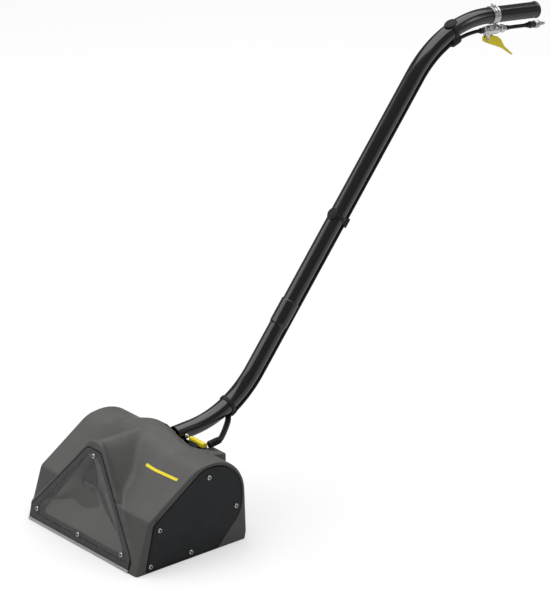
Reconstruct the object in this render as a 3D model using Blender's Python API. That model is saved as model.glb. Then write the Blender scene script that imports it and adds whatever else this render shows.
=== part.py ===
"""Powered carpet-washing brush head on a cane-shaped suction wand.

Every size below is in millimetres in the machine's own frame: x across the head, y back from
its front bottom edge and z up from the floor. The machine_origin empty carries that frame, and
MM turns the sizes into Blender's metres.
"""
import math

import bmesh
import bpy
import numpy as np
from mathutils import Matrix, Vector

MM = 0.001
GAP = 0.3                     # clearance between touching pieces

# Head
HEAD_WIDTH = 335.0
HALF = HEAD_WIDTH / 2
# side outline of the head: y, z and corner radius, from the front bottom edge over the top
HEAD_OUTLINE = [(0, 0, 0), (33, 102, 9), (149, 177.5, 60), (259, 177.5, 78), (265, 13, 8), (262, 0, 0)]
HEAD_CORE_Y = 130.0           # axis that the head's shape is measured from
HEAD_CORE_Z = 12.0
WALL = 4.5
END_ROUND = 5.0

# Raised window frame and the ridge that runs back from it
WINDOW_X = -10.0
WINDOW_LEAN = math.radians(13.2)
FRAME_TOP_HALF = 24.0         # half width of the frame at its top
FRAME_TOP_Z = 200.0
FRAME_FOOT_HALF = 160.0
FRAME_DEPTH = 20.0
RIDGE_Z = 199.5
RIDGE_FOOT_HALF = 136.0
RIDGE_END_Y = 192.0
HUMP_RISE = 21.0

# Brush, motor and belt
BRUSH_Y, BRUSH_Z, BRUSH_R = 100.0, 39.0, 37.8
BRUSH_LEFT, BRUSH_RIGHT = -152.0, 126.0
MOTOR_Y, MOTOR_Z, MOTOR_R = 186.0, 96.0, 36.0
BRUSH_PULLEY_R = 22.0
MOTOR_PULLEY_R = 14.0
PULLEY_X0, PULLEY_X1 = 136.0, 152.0

# Wand: straight stub, bend, long straight, bend, drooping handle
WAND_R = 16.0
WAND_WALL = 1.2
WAND_BEND = 208.0
PIVOT_Y, PIVOT_Z = 205.0, 165.1
WAND_CORNERS = [(PIVOT_Y, PIVOT_Z), (360.5, 172), (896, 840.6), (1138, 810.2)]
KNUCKLE_R = 20.0
TILT_UP, TILT_DOWN = 12.0, 3.0          # the wand's travel, in degrees
JOINT_START, JOINT_END = 332.8, 386.6   # the lower tube's widened socket, along the wand
SOCKET_R = 17.6
CLIP_PLACES = [155.0, 567.0, 995.0]
CLAMP_PLACE = 1116.0
HOSE_R = 3.0
LEAD_R = 2.8
CORD_DROP = 21.2              # how far below the wand's centreline the hose and lead run
CORD_START = 139.0            # where the bridge from the boot joins their run on the wand

# Fittings under the handle, on an axis parallel to it
VALVE_DROP = 29.5
VALVE_START = 1088.0
VALVE_LENGTH = 58.0
FITTINGS_LENGTH = 162.0       # valve, inlet stub and coupler together
COLLAR_PLACE = 140.0
LEVER_PIN_PLACE, LEVER_PIN_DROP = 10.0, 17.5
PLUNGER_PLACE = 24.0

LIP_FRONT = -2.4              # the foremost point of the machine


def v(x, y, z):
    return Vector((x, y, z))


# ---------------------------------------------------------------- outlines and paths

def rounded(corners, step=15.0):
    """Closed-shape corner list (a, b, radius) as points, each corner an arc of that radius."""
    count = len(corners)
    points = []
    for i in range(count):
        a, b, radius = corners[i]
        here = Vector((a, b))
        if radius <= 0:
            points.append((a, b))
            continue
        before = (Vector(corners[i - 1][:2]) - here).normalized()
        after = (Vector(corners[(i + 1) % count][:2]) - here).normalized()
        half = before.angle(after) / 2
        centre = here + (before + after).normalized() * (radius / math.sin(half))
        start = here + before * (radius / math.tan(half)) - centre
        sweep = math.pi - 2 * half
        turn = -1 if before.x * after.y - before.y * after.x > 0 else 1
        parts = max(2, round(math.degrees(sweep) / step))
        for k in range(parts + 1):
            angle = turn * sweep * k / parts
            c, s = math.cos(angle), math.sin(angle)
            points.append((centre.x + c * start.x - s * start.y, centre.y + s * start.x + c * start.y))
    return points


def bent_path(corners, radius):
    """Points and lengths along straight runs joined by arcs of one radius, in the YZ plane."""
    pts = [Vector(c) for c in corners]
    out = [pts[0].copy()]
    for i in range(1, len(pts) - 1):
        to_before = (pts[i - 1] - pts[i]).normalized()
        to_after = (pts[i + 1] - pts[i]).normalized()
        half = to_before.angle(to_after) / 2
        reach = radius / math.tan(half)
        start = pts[i] + to_before * reach
        centre = pts[i] + (to_before + to_after).normalized() * (radius / math.sin(half))
        sweep = math.pi - 2 * half
        turn = -1 if to_before.x * to_after.y - to_before.y * to_after.x > 0 else 1
        for k in range(33):
            angle = turn * sweep * k / 32
            c, s = math.cos(angle), math.sin(angle)
            r = start - centre
            out.append(centre + Vector((c * r.x - s * r.y, s * r.x + c * r.y)))
    out.append(pts[-1].copy())
    line = np.array([[p.x, p.y] for p in out])
    lengths = np.concatenate([[0.0], np.cumsum(np.hypot(*np.diff(line, axis=0).T))])
    return line, lengths


WAND_LINE, WAND_LENGTHS = bent_path(WAND_CORNERS, WAND_BEND)
WAND_END = float(WAND_LENGTHS[-1])


def wand_at(s):
    """Centre of the wand at length s, with its direction and the direction under it."""
    def place(t):
        return v(0, *(float(np.interp(t, WAND_LENGTHS, WAND_LINE[:, k])) for k in (0, 1)))
    ahead = (place(min(s + 1.5, WAND_END)) - place(max(s - 1.5, 0))).normalized()
    under = v(0, ahead.z, -ahead.y)
    return place(s), ahead, under


def wand_stations(start, end, step):
    count = max(2, round((end - start) / step) + 1)
    return [start + (end - start) * k / (count - 1) for k in range(count)]


def smoothstep(value, low, high):
    t = np.clip((value - low) / (high - low), 0.0, 1.0)
    return t * t * (3 - 2 * t)


# ---------------------------------------------------------------- the head's shape

def plane_reach(normal, offset, along):
    """How far a ray from the head's core axis goes before it meets a plane, by its direction."""
    slope = normal @ along
    return np.where(slope > 1e-6, offset / np.maximum(slope, 1e-6), 1e4)


def head_reach(x, theta, soft=3.0):
    """Distance from the core axis to the head's skin at x, in the direction theta of its YZ slice.

    The skin is the outermost of three shapes: the side outline with the hump above the wand's
    socket, the ridge, and the frame around the window.
    """
    outline = np.array(rounded(HEAD_OUTLINE, 3.0)) - np.array([HEAD_CORE_Y, HEAD_CORE_Z])
    # points along the straight chords, so that the reach follows them and not an arc
    steps = np.linspace(0, len(outline) - 1, 8 * (len(outline) - 1) + 1)
    chords = [np.interp(steps, range(len(outline)), outline[:, k]) for k in (0, 1)]
    angle = np.degrees(np.arctan2(chords[1], chords[0]))
    angle = np.where(angle < -90, angle + 360, angle)
    order = np.argsort(angle)
    degrees = np.degrees(theta)
    base = np.interp(degrees, angle[order], np.hypot(*chords)[order])
    hump = HUMP_RISE * (1 - smoothstep(np.abs(x), 35, 122))
    base = base + hump * smoothstep(degrees, 46, 68) * (1 - smoothstep(degrees, 84, 108))

    along = np.stack([np.zeros_like(theta), np.cos(theta), np.sin(theta)])
    lean = WINDOW_LEAN
    # window plane, through the front bottom edge
    front = plane_reach(np.array([0, -math.cos(lean), math.sin(lean)]),
                        HEAD_CORE_Y * math.cos(lean) - HEAD_CORE_Z * math.sin(lean), along)
    away = np.abs(x - WINDOW_X)
    # ridge: side planes that meet along the top, cut off at the hump
    run = RIDGE_FOOT_HALF - 6.0
    side_drop = RIDGE_Z - HEAD_CORE_Z - np.maximum(away - 6.0, 0) * RIDGE_Z / run
    ridge = np.minimum(front, np.where(side_drop > 0, plane_reach(np.array([0, 0, 1.0]), 1.0, along)
                                       * np.maximum(side_drop, 0), 0))
    back = plane_reach(np.array([0, 0.76, 0.65]), 0.76 * (RIDGE_END_Y - HEAD_CORE_Y)
                       + 0.65 * (RIDGE_Z - HEAD_CORE_Z), along)
    end = plane_reach(np.array([0, 1.0, 0]), RIDGE_END_Y - HEAD_CORE_Y, along)
    ridge = np.minimum(ridge, np.minimum(back, end))
    # frame: a slab behind the window plane, inside the frame's slanted sides
    frame_run = (FRAME_FOOT_HALF - FRAME_TOP_HALF) / FRAME_TOP_Z
    top = np.minimum(FRAME_TOP_Z, (FRAME_FOOT_HALF - away) / frame_run)
    lift = plane_reach(np.array([0, 0, 1.0]), 1.0, along) * np.maximum(top - HEAD_CORE_Z, 0)
    frame = np.minimum(front, lift)
    depth = ((HEAD_CORE_Y + frame * np.cos(theta)) * math.cos(lean)
             - (HEAD_CORE_Z + frame * np.sin(theta)) * math.sin(lean))
    frame = frame * (1 - smoothstep(depth, FRAME_DEPTH - 8, FRAME_DEPTH + 8))
    # soft maximum, so that the shapes run into each other with a small radius
    stack = np.stack([base, ridge, frame])
    peak = stack.max(axis=0)
    return peak + soft * np.log(np.exp((stack - peak) / soft).sum(axis=0)) - soft * 0.25


# ---------------------------------------------------------------- mesh helpers

ROOT = None
MATERIALS = {}


def material(name, color, roughness, metallic=0.0, alpha=1.0):
    if name not in MATERIALS:
        mat = bpy.data.materials.new(name)
        mat.use_nodes = True
        shader = mat.node_tree.nodes["Principled BSDF"]
        shader.inputs["Base Color"].default_value = (*color, 1.0)
        shader.inputs["Roughness"].default_value = roughness
        shader.inputs["Metallic"].default_value = metallic
        shader.inputs["Alpha"].default_value = alpha
        MATERIALS[name] = mat
    return MATERIALS[name]


def finish(name, mesh_data, look, axis=None, smooth=True):
    """Puts a bmesh, in machine millimetres, into an object on its parent empty."""
    bmesh.ops.recalc_face_normals(mesh_data, faces=mesh_data.faces)
    mesh = bpy.data.meshes.new(name)
    scale = Matrix.Scale(MM, 4)
    shift = axis.location if axis else Vector((0, 0, 0))
    bmesh.ops.transform(mesh_data, matrix=Matrix.Translation(-shift) @ scale, verts=mesh_data.verts)
    mesh_data.to_mesh(mesh)
    mesh_data.free()
    obj = bpy.data.objects.new(name, mesh)
    bpy.context.collection.objects.link(obj)
    obj.parent = axis or ROOT
    if look:
        mesh.materials.append(look)
    if smooth:
        mesh.shade_smooth()
        mesh.set_sharp_from_angle(angle=math.radians(35))
    return obj


def axis_empty(name, x, y, z):
    """An empty on a joint's axis, in the machine frame."""
    empty = bpy.data.objects.new(name, None)
    empty.empty_display_size = 0.02
    bpy.context.collection.objects.link(empty)
    empty.parent = ROOT
    empty.location = v(x, y, z) * MM
    return empty


def loft(name, loops, look, axis=None, closed=False, smooth=True):
    """Closed body through loops of equal length; the ends are filled, or joined when closed."""
    data = bmesh.new()
    rings = [[data.verts.new(p) for p in loop] for loop in loops]
    count = len(rings[0])
    pairs = list(zip(rings, rings[1:]))
    if closed:
        pairs.append((rings[-1], rings[0]))
    for low, high in pairs:
        for k in range(count):
            n = (k + 1) % count
            data.faces.new((low[k], low[n], high[n], high[k]))
    if not closed:
        data.faces.new(list(reversed(rings[0])))
        data.faces.new(rings[-1])
    return finish(name, data, look, axis, smooth)


def frame_of(axis_dir):
    """Two unit vectors across a direction."""
    w = Vector(axis_dir).normalized()
    guess = v(1, 0, 0) if abs(w.x) < 0.9 else v(0, 1, 0)
    a = (guess - w * guess.dot(w)).normalized()
    return a, w.cross(a), w


def ring(centre, a, b, radius, sides, squash=1.0):
    points = []
    for k in range(sides):
        t = 2 * math.pi * (k + 0.5) / sides
        points.append(centre + a * (radius * math.cos(t)) + b * (radius * squash * math.sin(t)))
    return points


def turned(name, profile, base, direction, look, axis=None, sides=16, closed=False, smooth=True):
    """Turned body: profile of (radius, height) pairs along a direction from its base point."""
    a, b, w = frame_of(direction)
    loops = [ring(base + w * h, a, b, r, sides) for r, h in profile]
    return loft(name, loops, look, axis, closed, smooth)


def prism_x(name, outline, x0, x1, look, axis=None, smooth=False):
    """Outline in the YZ plane carried along X."""
    return loft(name, [[v(x, y, z) for y, z in outline] for x in (x0, x1)], look, axis, smooth=smooth)


def box(name, low, high, look, axis=None):
    (x0, y0, z0), (x1, y1, z1) = low, high
    return prism_x(name, [(y0, z0), (y1, z0), (y1, z1), (y0, z1)], x0, x1, look, axis)


def swept(name, points, radius, sides, look, axis=None, inner=None, smooth=True):
    """Round rod or, with an inner radius, open tube along 3D points, with no twist."""
    pts = [Vector(p) for p in points]
    tangents = []
    for k in range(len(pts)):
        tangents.append((pts[min(k + 1, len(pts) - 1)] - pts[max(k - 1, 0)]).normalized())
    side = v(1, 0, 0) if abs(tangents[0].x) < 0.9 else v(0, 1, 0)
    radii = radius if isinstance(radius, list) else [radius] * len(pts)
    loops = []
    frames = []
    for p, t, r in zip(pts, tangents, radii):
        side = (side - t * side.dot(t)).normalized()
        frames.append((p, side.copy(), t.cross(side)))
        loops.append(ring(p, side, t.cross(side), r, sides))
    if inner is None:
        return loft(name, loops, look, axis, smooth=smooth)
    holes = inner if isinstance(inner, list) else [inner] * len(pts)
    for (p, a, b), r in reversed(list(zip(frames, holes))):
        loops.append(ring(p, a, b, r, sides))
    return loft(name, loops, look, axis, closed=True, smooth=smooth)


def cut(target, cutter, operation="DIFFERENCE"):
    """Boolean with a hidden cutter."""
    cutter.hide_render = True
    cutter.display_type = "WIRE"
    mod = target.modifiers.new(cutter.name, "BOOLEAN")
    mod.operation = operation
    mod.solver = "EXACT"
    mod.object = cutter
    return target


def drill(target, centre, direction, radius, depth, sides=12):
    """Round hole from a point along a direction."""
    profile = [(radius, 0), (radius, depth)]
    hole = turned(f"{target.name}_hole", profile, centre, direction, None, sides=sides)
    return cut(target, hole)


def screw(name, place, outward, look, shank=5.0):
    """Pan-head screw with a socket, its head's underside at the place."""
    profile = [(1.7, -shank), (1.7, 0), (4.4, 0), (4.4, 1.2), (3.6, 2.2), (2.0, 2.2), (1.7, 1.0), (0.2, 1.0)]
    return turned(name, profile, place, outward, look, sides=10)


# ---------------------------------------------------------------- the parts

def window_point(x, up, out=0.0):
    """A point on the window plane, at a height along it, and out from it."""
    lean = WINDOW_LEAN
    return v(x, up * math.sin(lean) - out * math.cos(lean), up * math.cos(lean) + out * math.sin(lean))


def grown(corners, distance):
    """Corner list moved outward by a distance, mitred, each radius growing with it."""
    count = len(corners)
    area = 0.0
    for k in range(count):
        area += corners[k - 1][0] * corners[k][1] - corners[k][0] * corners[k - 1][1]
    outward = 1 if area > 0 else -1
    out = []
    for k in range(count):
        here = Vector(corners[k][:2])
        before = (here - Vector(corners[k - 1][:2])).normalized()
        after = (Vector(corners[(k + 1) % count][:2]) - here).normalized()
        first = Vector((before.y, -before.x)) * outward
        second = Vector((after.y, -after.x)) * outward
        place = here + (first + second) * (distance / (1 + first.dot(second)))
        radius = corners[k][2]
        out.append((place.x, place.y, max(3.0, radius + distance) if radius else 0))
    return out


WINDOW_CORNERS = [(-162, 6, 0), (-162, 30, 4), (-30, 190, 14), (10, 190, 14), (142, 30, 4), (142, 6, 0)]


FUNNEL_CORNERS = [(-134, 24, 6), (-28, 178, 12), (8, 178, 12), (114, 24, 6)]


def window_outline(grow=0.0, foot=6.0):
    """Window triangle with a blunt top and short upright ends, as (x, height along the plane)."""
    points = rounded(grown(WINDOW_CORNERS, grow), 30.0)
    return [(x, max(s, foot)) for x, s in points]


def window_prism(name, grow, low, high, look=None, foot=6.0):
    outline = window_outline(grow, foot)
    loops = [[window_point(x, s, out) for x, s in outline] for out in (low, high)]
    return loft(name, loops, look, smooth=False)


def housing(look):
    """Shell of the head: the same grid outside and a wall's thickness inside, open below."""
    xs = [-HALF, -HALF + END_ROUND]
    xs += list(np.linspace(-148, 148, 33))
    xs += [HALF - END_ROUND, HALF]
    low = math.atan2(-HEAD_CORE_Z, 262 - HEAD_CORE_Y)
    high = math.pi + math.atan2(HEAD_CORE_Z, HEAD_CORE_Y)
    thetas = np.concatenate([np.linspace(low, math.radians(30), 5)[:-1],
                             np.linspace(math.radians(30), math.radians(128), 24),
                             np.linspace(math.radians(132), high, 12)])
    data = bmesh.new()
    skins = []
    for inset in (0.0, WALL):
        rows = []
        for i, x in enumerate(xs):
            reach = head_reach(np.full_like(thetas, x), thetas) - inset
            at_end = i in (0, len(xs) - 1)
            if at_end:
                reach = reach - END_ROUND * 0.8
            place = x - math.copysign(inset, x) if at_end else x
            row = []
            for j, (t, r) in enumerate(zip(thetas, reach)):
                y = HEAD_CORE_Y + r * math.cos(t)
                z = HEAD_CORE_Z + r * math.sin(t)
                if j in (0, len(thetas) - 1):
                    z = 0.0
                row.append(data.verts.new(v(place, y, max(z, 0.0))))
            rows.append(row)
        skins.append(rows)
        for low_row, high_row in zip(rows, rows[1:]):
            for j in range(len(thetas) - 1):
                quad = (low_row[j], low_row[j + 1], high_row[j + 1], high_row[j])
                data.faces.new(quad if inset == 0 else tuple(reversed(quad)))
        data.faces.new(rows[0] if inset else list(reversed(rows[0])))
        data.faces.new(list(reversed(rows[-1])) if inset else rows[-1])
    outer, inner = skins
    for j in (0, -1):
        for k in range(len(xs) - 1):
            data.faces.new((outer[k][j], outer[k + 1][j], inner[k + 1][j], inner[k][j]))
    for rows_o, rows_i in ((outer[0], inner[0]), (outer[-1], inner[-1])):
        data.faces.new((rows_o[0], rows_o[-1], rows_i[-1], rows_i[0]))
    bmesh.ops.triangulate(data, faces=data.faces)
    shell = finish("housing", data, look)

    cut(shell, window_prism("window_seat", 1.2, -4.4, 30))
    cut(shell, window_prism("window_mouth", -13.0, -40, 0, foot=20.0))
    cut(shell, prism_x("cover_seat_right", cover_outline(0.5), HALF - 4.6, HALF + 20, None))
    cut(shell, prism_x("cover_mouth_right", cover_outline(-11.0), HALF - 20, HALF + 20, None))
    cut(shell, prism_x("cover_seat_left", cover_outline(0.5), -HALF - 20, -HALF + 4.6, None))
    cut(shell, prism_x("cover_mouth_left", cover_outline(-11.0), -HALF - 20, -HALF + 20, None))
    # slot that the wand swings in, the notch beside it for the pedal, and the cable box's seat
    cut(shell, wand_slot())
    notch = [(16, 227), (45, 228), (62, 230), (74, 234), (82, 252), (82, 270), (16, 270)]
    cut(shell, loft("pedal_notch", [[v(x, y, z) for x, y in notch] for z in (149, 200)], None))
    cut(shell, prism_x("block_seat", grown_flat(REAR_BLOCK, 0.4), 61.6, 100.4, None))
    # suction slot's foot, behind the front lip
    cut(shell, box("lip_seat", (-163, -30, -10), (143, 2.6, 5.6), None))
    return shell


def wand_slot():
    """Cutter for the wand's opening: its round section, spread between the two ends of its tilt."""
    first, last = PIVOT_Y - 4.0, PIVOT_Y + 95.0
    rise = (WAND_CORNERS[1][1] - PIVOT_Z) / (WAND_CORNERS[1][0] - PIVOT_Y)
    level = math.degrees(math.atan(rise))
    loops = []
    for y in (first, last):
        upper = (y - PIVOT_Y) * math.tan(math.radians(level + TILT_UP + 0.5))
        lower = (y - PIVOT_Y) * math.tan(math.radians(level - TILT_DOWN - 0.5))
        loop = []
        for k in range(20):
            a = 2 * math.pi * (k + 0.5) / 20
            swing = upper if math.sin(a) > 0 else lower
            loop.append(v(17.6 * math.cos(a), y, PIVOT_Z + swing + 17.4 * math.sin(a)))
        loops.append(loop)
    return loft("wand_opening", loops, None)


REAR_BLOCK = [(243, 116), (271, 118), (271, 147.5), (267.5, 150), (237, 156.5), (237, 128)]


def grown_flat(outline, distance):
    return [(a, b) for a, b, _ in grown([(a, b, 0) for a, b in outline], distance)]


def cover_outline(grow=0.0):
    """Side cover: follows the head's outline a little way in, and sweeps up at the lower rear."""
    g = grow
    corners = [(24 - g, 3 - g, 3), (44.5 - g, 91 + g * 0.4, 10), (160, 169.5 + g, 48),
               (252 + g, 169.5 + g, 72), (252 + g, 62, 60), (193 + g * 0.5, 3 - g, 10)]
    return rounded(corners)


COVER_SCREWS = [(175, 151), (239, 74), (57, 79), (130, 12), (34, 11.5)]


def covers(look, screw_look):
    for side, name in ((1, "right"), (-1, "left")):
        out = side * HALF
        rim = [[v(side * x, y, z) for y, z in cover_outline(-grow)]
               for x, grow in ((HALF - 4.3, 0.0), (HALF - 1.2, 0.0), (HALF - 0.2, 1.2))]
        plate = loft(f"cover_{name}", rim, look, smooth=False)
        places = COVER_SCREWS if side > 0 else [COVER_SCREWS[0], COVER_SCREWS[3]]
        for k, (y, z) in enumerate(places, 1):
            drill(plate, v(out - side * 8, y, z), v(side, 0, 0), 2.1, 12)
            screw(f"cover_{name}_screw_{k}", v(out - side * 0.2 + side * GAP, y, z), v(side, 0, 0),
                  screw_look, 3.9)


def window_parts(clear, rubber, screw_look):
    outline = window_outline(-0.8, 6.8)
    inner = window_outline(-12.0, 17.0)
    raised = window_outline(-14.5, 19.0)
    loops = [[window_point(x, s, out) for x, s in shape]
             for shape, out in ((outline, -2.0), (outline, 0.6), (inner, 0.6), (raised, 3.0))]
    pane = loft("window", loops, clear, smooth=False)
    seal_out = window_outline(0.2, 6.8)
    seal_in = window_outline(-10.0, 16.0)
    seal = [[window_point(x, s, out) for x, s in shape]
            for shape, out in ((seal_out, -4.1), (seal_out, -2.3), (seal_in, -2.3), (seal_in, -4.1))]
    loft("window_seal", seal, rubber, closed=True, smooth=False)
    spots = [("top", 2.0, 178.0), ("left", -133.0, 27.0), ("foot", -4.0, 21.0), ("right", 126.0, 27.0)]
    for name, x, up in spots:
        place = window_point(WINDOW_X + x, up, 0.6 + GAP)
        outward = window_point(0, 0, 1) - window_point(0, 0, 0)
        drill(pane, place - outward * 8, outward, 2.1, 12)
        drill(pane, place - outward * 0.15, outward, 5.4, 9)
        screw(f"window_screw_{name}", place, outward, screw_look, 2.7)


def suction_parts(grey, dark):
    """Front lip, the funnel seen through the window, and the duct back to the wand."""
    box("front_lip", (-162.6, LIP_FRONT, 0.4), (142.6, 2.2, 5.2), dark)
    outline = rounded(FUNNEL_CORNERS, 30.0)
    pane = loft("suction_funnel", [[window_point(x, s, out) for x, s in outline] for out in (-16, -12.5)],
                grey, smooth=False)
    port = [ring(window_point(WINDOW_X - 16, 121, out), v(1, 0, 0), window_point(0, 1, 0), 22, 20, 1.6)
            for out in (-30, 5)]
    cut(pane, loft("port_hole", port, None))
    start = window_point(WINDOW_X - 16, 121, -17)
    end = v(0, PIVOT_Y - 26.0, PIVOT_Z - 1.0)
    run = [start, start + v(0, 26, 3), start.lerp(end, 0.45) + v(0, 0, 4), start.lerp(end, 0.75), end]
    swept("suction_duct", smooth_line(run, 9), 18.0, 16, dark, inner=15.6)


def smooth_line(points, count):
    """Catmull-Rom curve through hand-set points, sampled evenly in its own parameter."""
    pts = [Vector(p) for p in points]
    pts = [pts[0] * 2 - pts[1]] + pts + [pts[-1] * 2 - pts[-2]]
    spans = len(pts) - 3
    out = []
    for k in range(count):
        u = spans * k / (count - 1)
        i = min(int(u), spans - 1)
        t = u - i
        p0, p1, p2, p3 = pts[i:i + 4]
        out.append(0.5 * ((2 * p1) + (p2 - p0) * t + (2 * p0 - 5 * p1 + 4 * p2 - p3) * t * t
                          + (3 * p1 - p0 - 3 * p2 + p3) * t * t * t))
    return out


def brush_parts(axis, motor_axis, looks):
    centre = v(0, BRUSH_Y, BRUSH_Z)
    turned("brush_core", [(13, BRUSH_LEFT), (13, BRUSH_RIGHT), (6, BRUSH_RIGHT), (6, PULLEY_X1 + 6),
                          (2, PULLEY_X1 + 6)], centre, v(1, 0, 0), looks["plastic"], axis, sides=14)
    # bristles: a thick sleeve with lengthwise flutes that twist along the roller
    loops = []
    for radius_set in ("out", "in"):
        stations = np.linspace(BRUSH_LEFT + 6, BRUSH_RIGHT - 6, 15)
        if radius_set == "in":
            stations = stations[::-1]
        for x in stations:
            loop = []
            for k in range(24):
                t = 2 * math.pi * k / 24 + 0.006 * x
                r = 13 + GAP if radius_set == "in" else BRUSH_R - (3.0 if k % 2 else 0.0)
                loop.append(centre + v(x, r * math.cos(t), r * math.sin(t)))
            loops.append(loop)
    loft("brush_bristles", loops, looks["bristle"], axis, closed=True)
    for name, x in (("left", BRUSH_LEFT + 1), ("right", BRUSH_RIGHT + 1)):
        bore = 13.6 if x < 0 else 6.4
        turned(f"brush_bearing_{name}", [(17, 0), (17, 4), (bore, 4), (bore, 0)],
               v(x, BRUSH_Y, BRUSH_Z), v(1, 0, 0), looks["steel"], sides=16, closed=True)
    motor = v(0, MOTOR_Y, MOTOR_Z)
    case = [(12, -62), (30, -62), (MOTOR_R, -54), (MOTOR_R, 108), (30, 118), (10, 118), (10, 124), (6, 124)]
    turned("motor_body", case, motor, v(1, 0, 0), looks["steel"], sides=18)
    turned("motor_shaft", [(4, 124.5), (4, PULLEY_X1 + 4)], motor, v(1, 0, 0), looks["steel"], motor_axis,
           sides=10)
    for name, place, radius, hub, empty in (("brush_pulley", centre, BRUSH_PULLEY_R, 6, axis),
                                            ("motor_pulley", motor, MOTOR_PULLEY_R, 4, motor_axis)):
        hub = hub + GAP
        rim = [(radius, PULLEY_X0), (radius, PULLEY_X1), (hub, PULLEY_X1), (hub, PULLEY_X0)]
        turned(name, rim, place, v(1, 0, 0), looks["plastic"], empty, sides=20, closed=True)
    # belt: a flat band round both pulleys
    span = Vector((MOTOR_Y - BRUSH_Y, MOTOR_Z - BRUSH_Z))
    tilt = math.acos((BRUSH_PULLEY_R - MOTOR_PULLEY_R) / span.length)
    heading = math.atan2(span.y, span.x)
    bands = []
    for extra in (0.8, 3.4):
        band = []
        for y, z, radius, start, stop in ((BRUSH_Y, BRUSH_Z, BRUSH_PULLEY_R, tilt, 2 * math.pi - tilt),
                                          (MOTOR_Y, MOTOR_Z, MOTOR_PULLEY_R, -tilt, tilt)):
            for k in range(13):
                a = heading + start + (stop - start) * k / 12
                reach = radius + extra
                band.append((y + reach * math.cos(a), z + reach * math.sin(a)))
        bands.append(band)
    inner, outer = bands
    x0, x1 = PULLEY_X0 + 3, PULLEY_X1 - 3
    edges = ((x0, outer), (x1, outer), (x1, inner), (x0, inner))
    loft("drive_belt", [[v(x, *p) for p in band] for x, band in edges], looks["rubber"], closed=True)


def chassis_parts(looks):
    """Belt bulkhead, the hood over the brush and the spray bar inside the head."""
    shape = rounded([(34, 14, 3), (56, 92, 10), (158, 160, 45), (246, 160, 66), (246, 60, 55), (196, 14, 8)])
    plate = prism_x("belt_bulkhead", shape, 131.6, 134.2, looks["steel"])
    drill(plate, v(125, BRUSH_Y, BRUSH_Z), v(1, 0, 0), 9.0, 14, 14)
    drill(plate, v(125, MOTOR_Y, MOTOR_Z), v(1, 0, 0), 8.0, 14, 14)
    arc = []
    for radius in (45.5, 43.0):
        angles = np.linspace(-0.35, math.pi + 0.35, 15)
        if radius == 43.0:
            angles = angles[::-1]
        arc += [(BRUSH_Y + radius * math.cos(a), BRUSH_Z + radius * math.sin(a)) for a in angles]
    prism_x("brush_hood", arc, BRUSH_LEFT + 4, BRUSH_RIGHT - 2, looks["plastic"], smooth=True)
    swept("spray_bar", [v(-140, 40, 62), v(118, 40, 62)], 4.0, 10, looks["brass"])
    for k, x in enumerate((-80, 60), 1):
        turned(f"spray_nozzle_{k}", [(3.4, 0), (3.4, 6), (1.5, 9)], v(x, 40, 57.5), v(0, 0.15, -1),
               looks["brass"], sides=10)


PEDAL_PIN_Y, PEDAL_PIN_Z = 234.0, 147.0
BOOT = v(72, 251.5, 162.0)
BOOT_AXIS = v(0, 1, 0.10).normalized()


def rear_parts(looks, pedal_axis):
    """Cable box on the rear, its boot, and the pedal in the scoop."""
    block = prism_x("rear_block", REAR_BLOCK, 62, 100, looks["grey"])
    cut(block, box("boot_collar", (63.5, 251.4, 148), (80.5, 256, 170), None), "UNION")
    cut(block, turned("boot_seat", [(7.1, -4), (7.1, 10)], BOOT, BOOT_AXIS, None))
    ribs = [(6.8, 0)]
    for k in range(5):
        h = 3 + k * 4.4
        r = 6.4 - k * 0.25
        ribs += [(r, h), (r - 1.2, h + 0.6), (r - 1.2, h + 2.2), (r, h + 2.8)]
    ribs += [(5.2, 25)]
    turned("cable_boot", ribs, BOOT, BOOT_AXIS, looks["rubber"], sides=12)
    # pedal: a bar whose heel turns on a pin inside the head
    pad = rounded([(238, 157, 3), (249, 156.5, 3), (249.5, 165.5, 4), (239, 168, 4)], 45)
    pedal = prism_x("tilt_pedal", pad, 27, 70, looks["yellow"], pedal_axis)
    heel = [(229.6, 142.6), (237.6, 142.6), (243, 160), (238.5, 162)]
    cut(pedal, prism_x("pedal_heel", heel, 30, 56, None, pedal_axis), "UNION")
    pin = v(24, PEDAL_PIN_Y, PEDAL_PIN_Z)
    turned("pedal_pin", [(2.5, 0), (2.5, 37.7)], pin, v(1, 0, 0), looks["steel"], sides=10)
    cut(pedal, turned("pedal_bore", [(2.8, -9), (2.8, 60)], pin, v(1, 0, 0), None, pedal_axis))


def wand_parts(axis, looks):
    start, ahead, _ = wand_at(0)
    knuckle = turned("wand_knuckle", [(KNUCKLE_R, -21), (KNUCKLE_R, 21)], start, v(1, 0, 0), looks["black"],
                     axis, sides=24)
    bore = turned("knuckle_bore", [(13, -40), (13, 40)], start, ahead, None, axis)
    cut(knuckle, bore)
    turned("wand_bolt", [(4.6, 0), (4.6, 2.0), (3.4, 3.4)], wand_at(37)[0] + v(16.5, 0, -3), v(1, 0, 0),
           looks["chrome"], axis, sides=12)

    stations = wand_stations(KNUCKLE_R + 1.2, JOINT_START, 17.0) + [JOINT_START + 6, JOINT_END]
    radii = [WAND_R] * (len(stations) - 2) + [SOCKET_R, SOCKET_R]
    holes = [WAND_R - WAND_WALL] * (len(stations) - 2) + [WAND_R + 0.4, WAND_R + 0.4]
    swept("lower_tube", [wand_at(s)[0] for s in stations], radii, 16, looks["black"], axis, inner=holes)
    stations = wand_stations(JOINT_START + 8, 873, 68) + wand_stations(893, WAND_END - 4, 18.5)
    radii = [WAND_R] * (len(stations)) + [WAND_R + 1.0] * 2
    stations = stations + [WAND_END - 3, WAND_END]
    swept("upper_tube", [wand_at(s)[0] for s in stations], radii, 16, looks["black"], axis,
          inner=WAND_R - WAND_WALL)

    for name, s in zip(("lower", "middle", "upper"), CLIP_PLACES):
        clip(name, s, axis, looks["rubber"])
    clamp_and_valve(axis, looks)


LEAD_END = 1066.0


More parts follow.
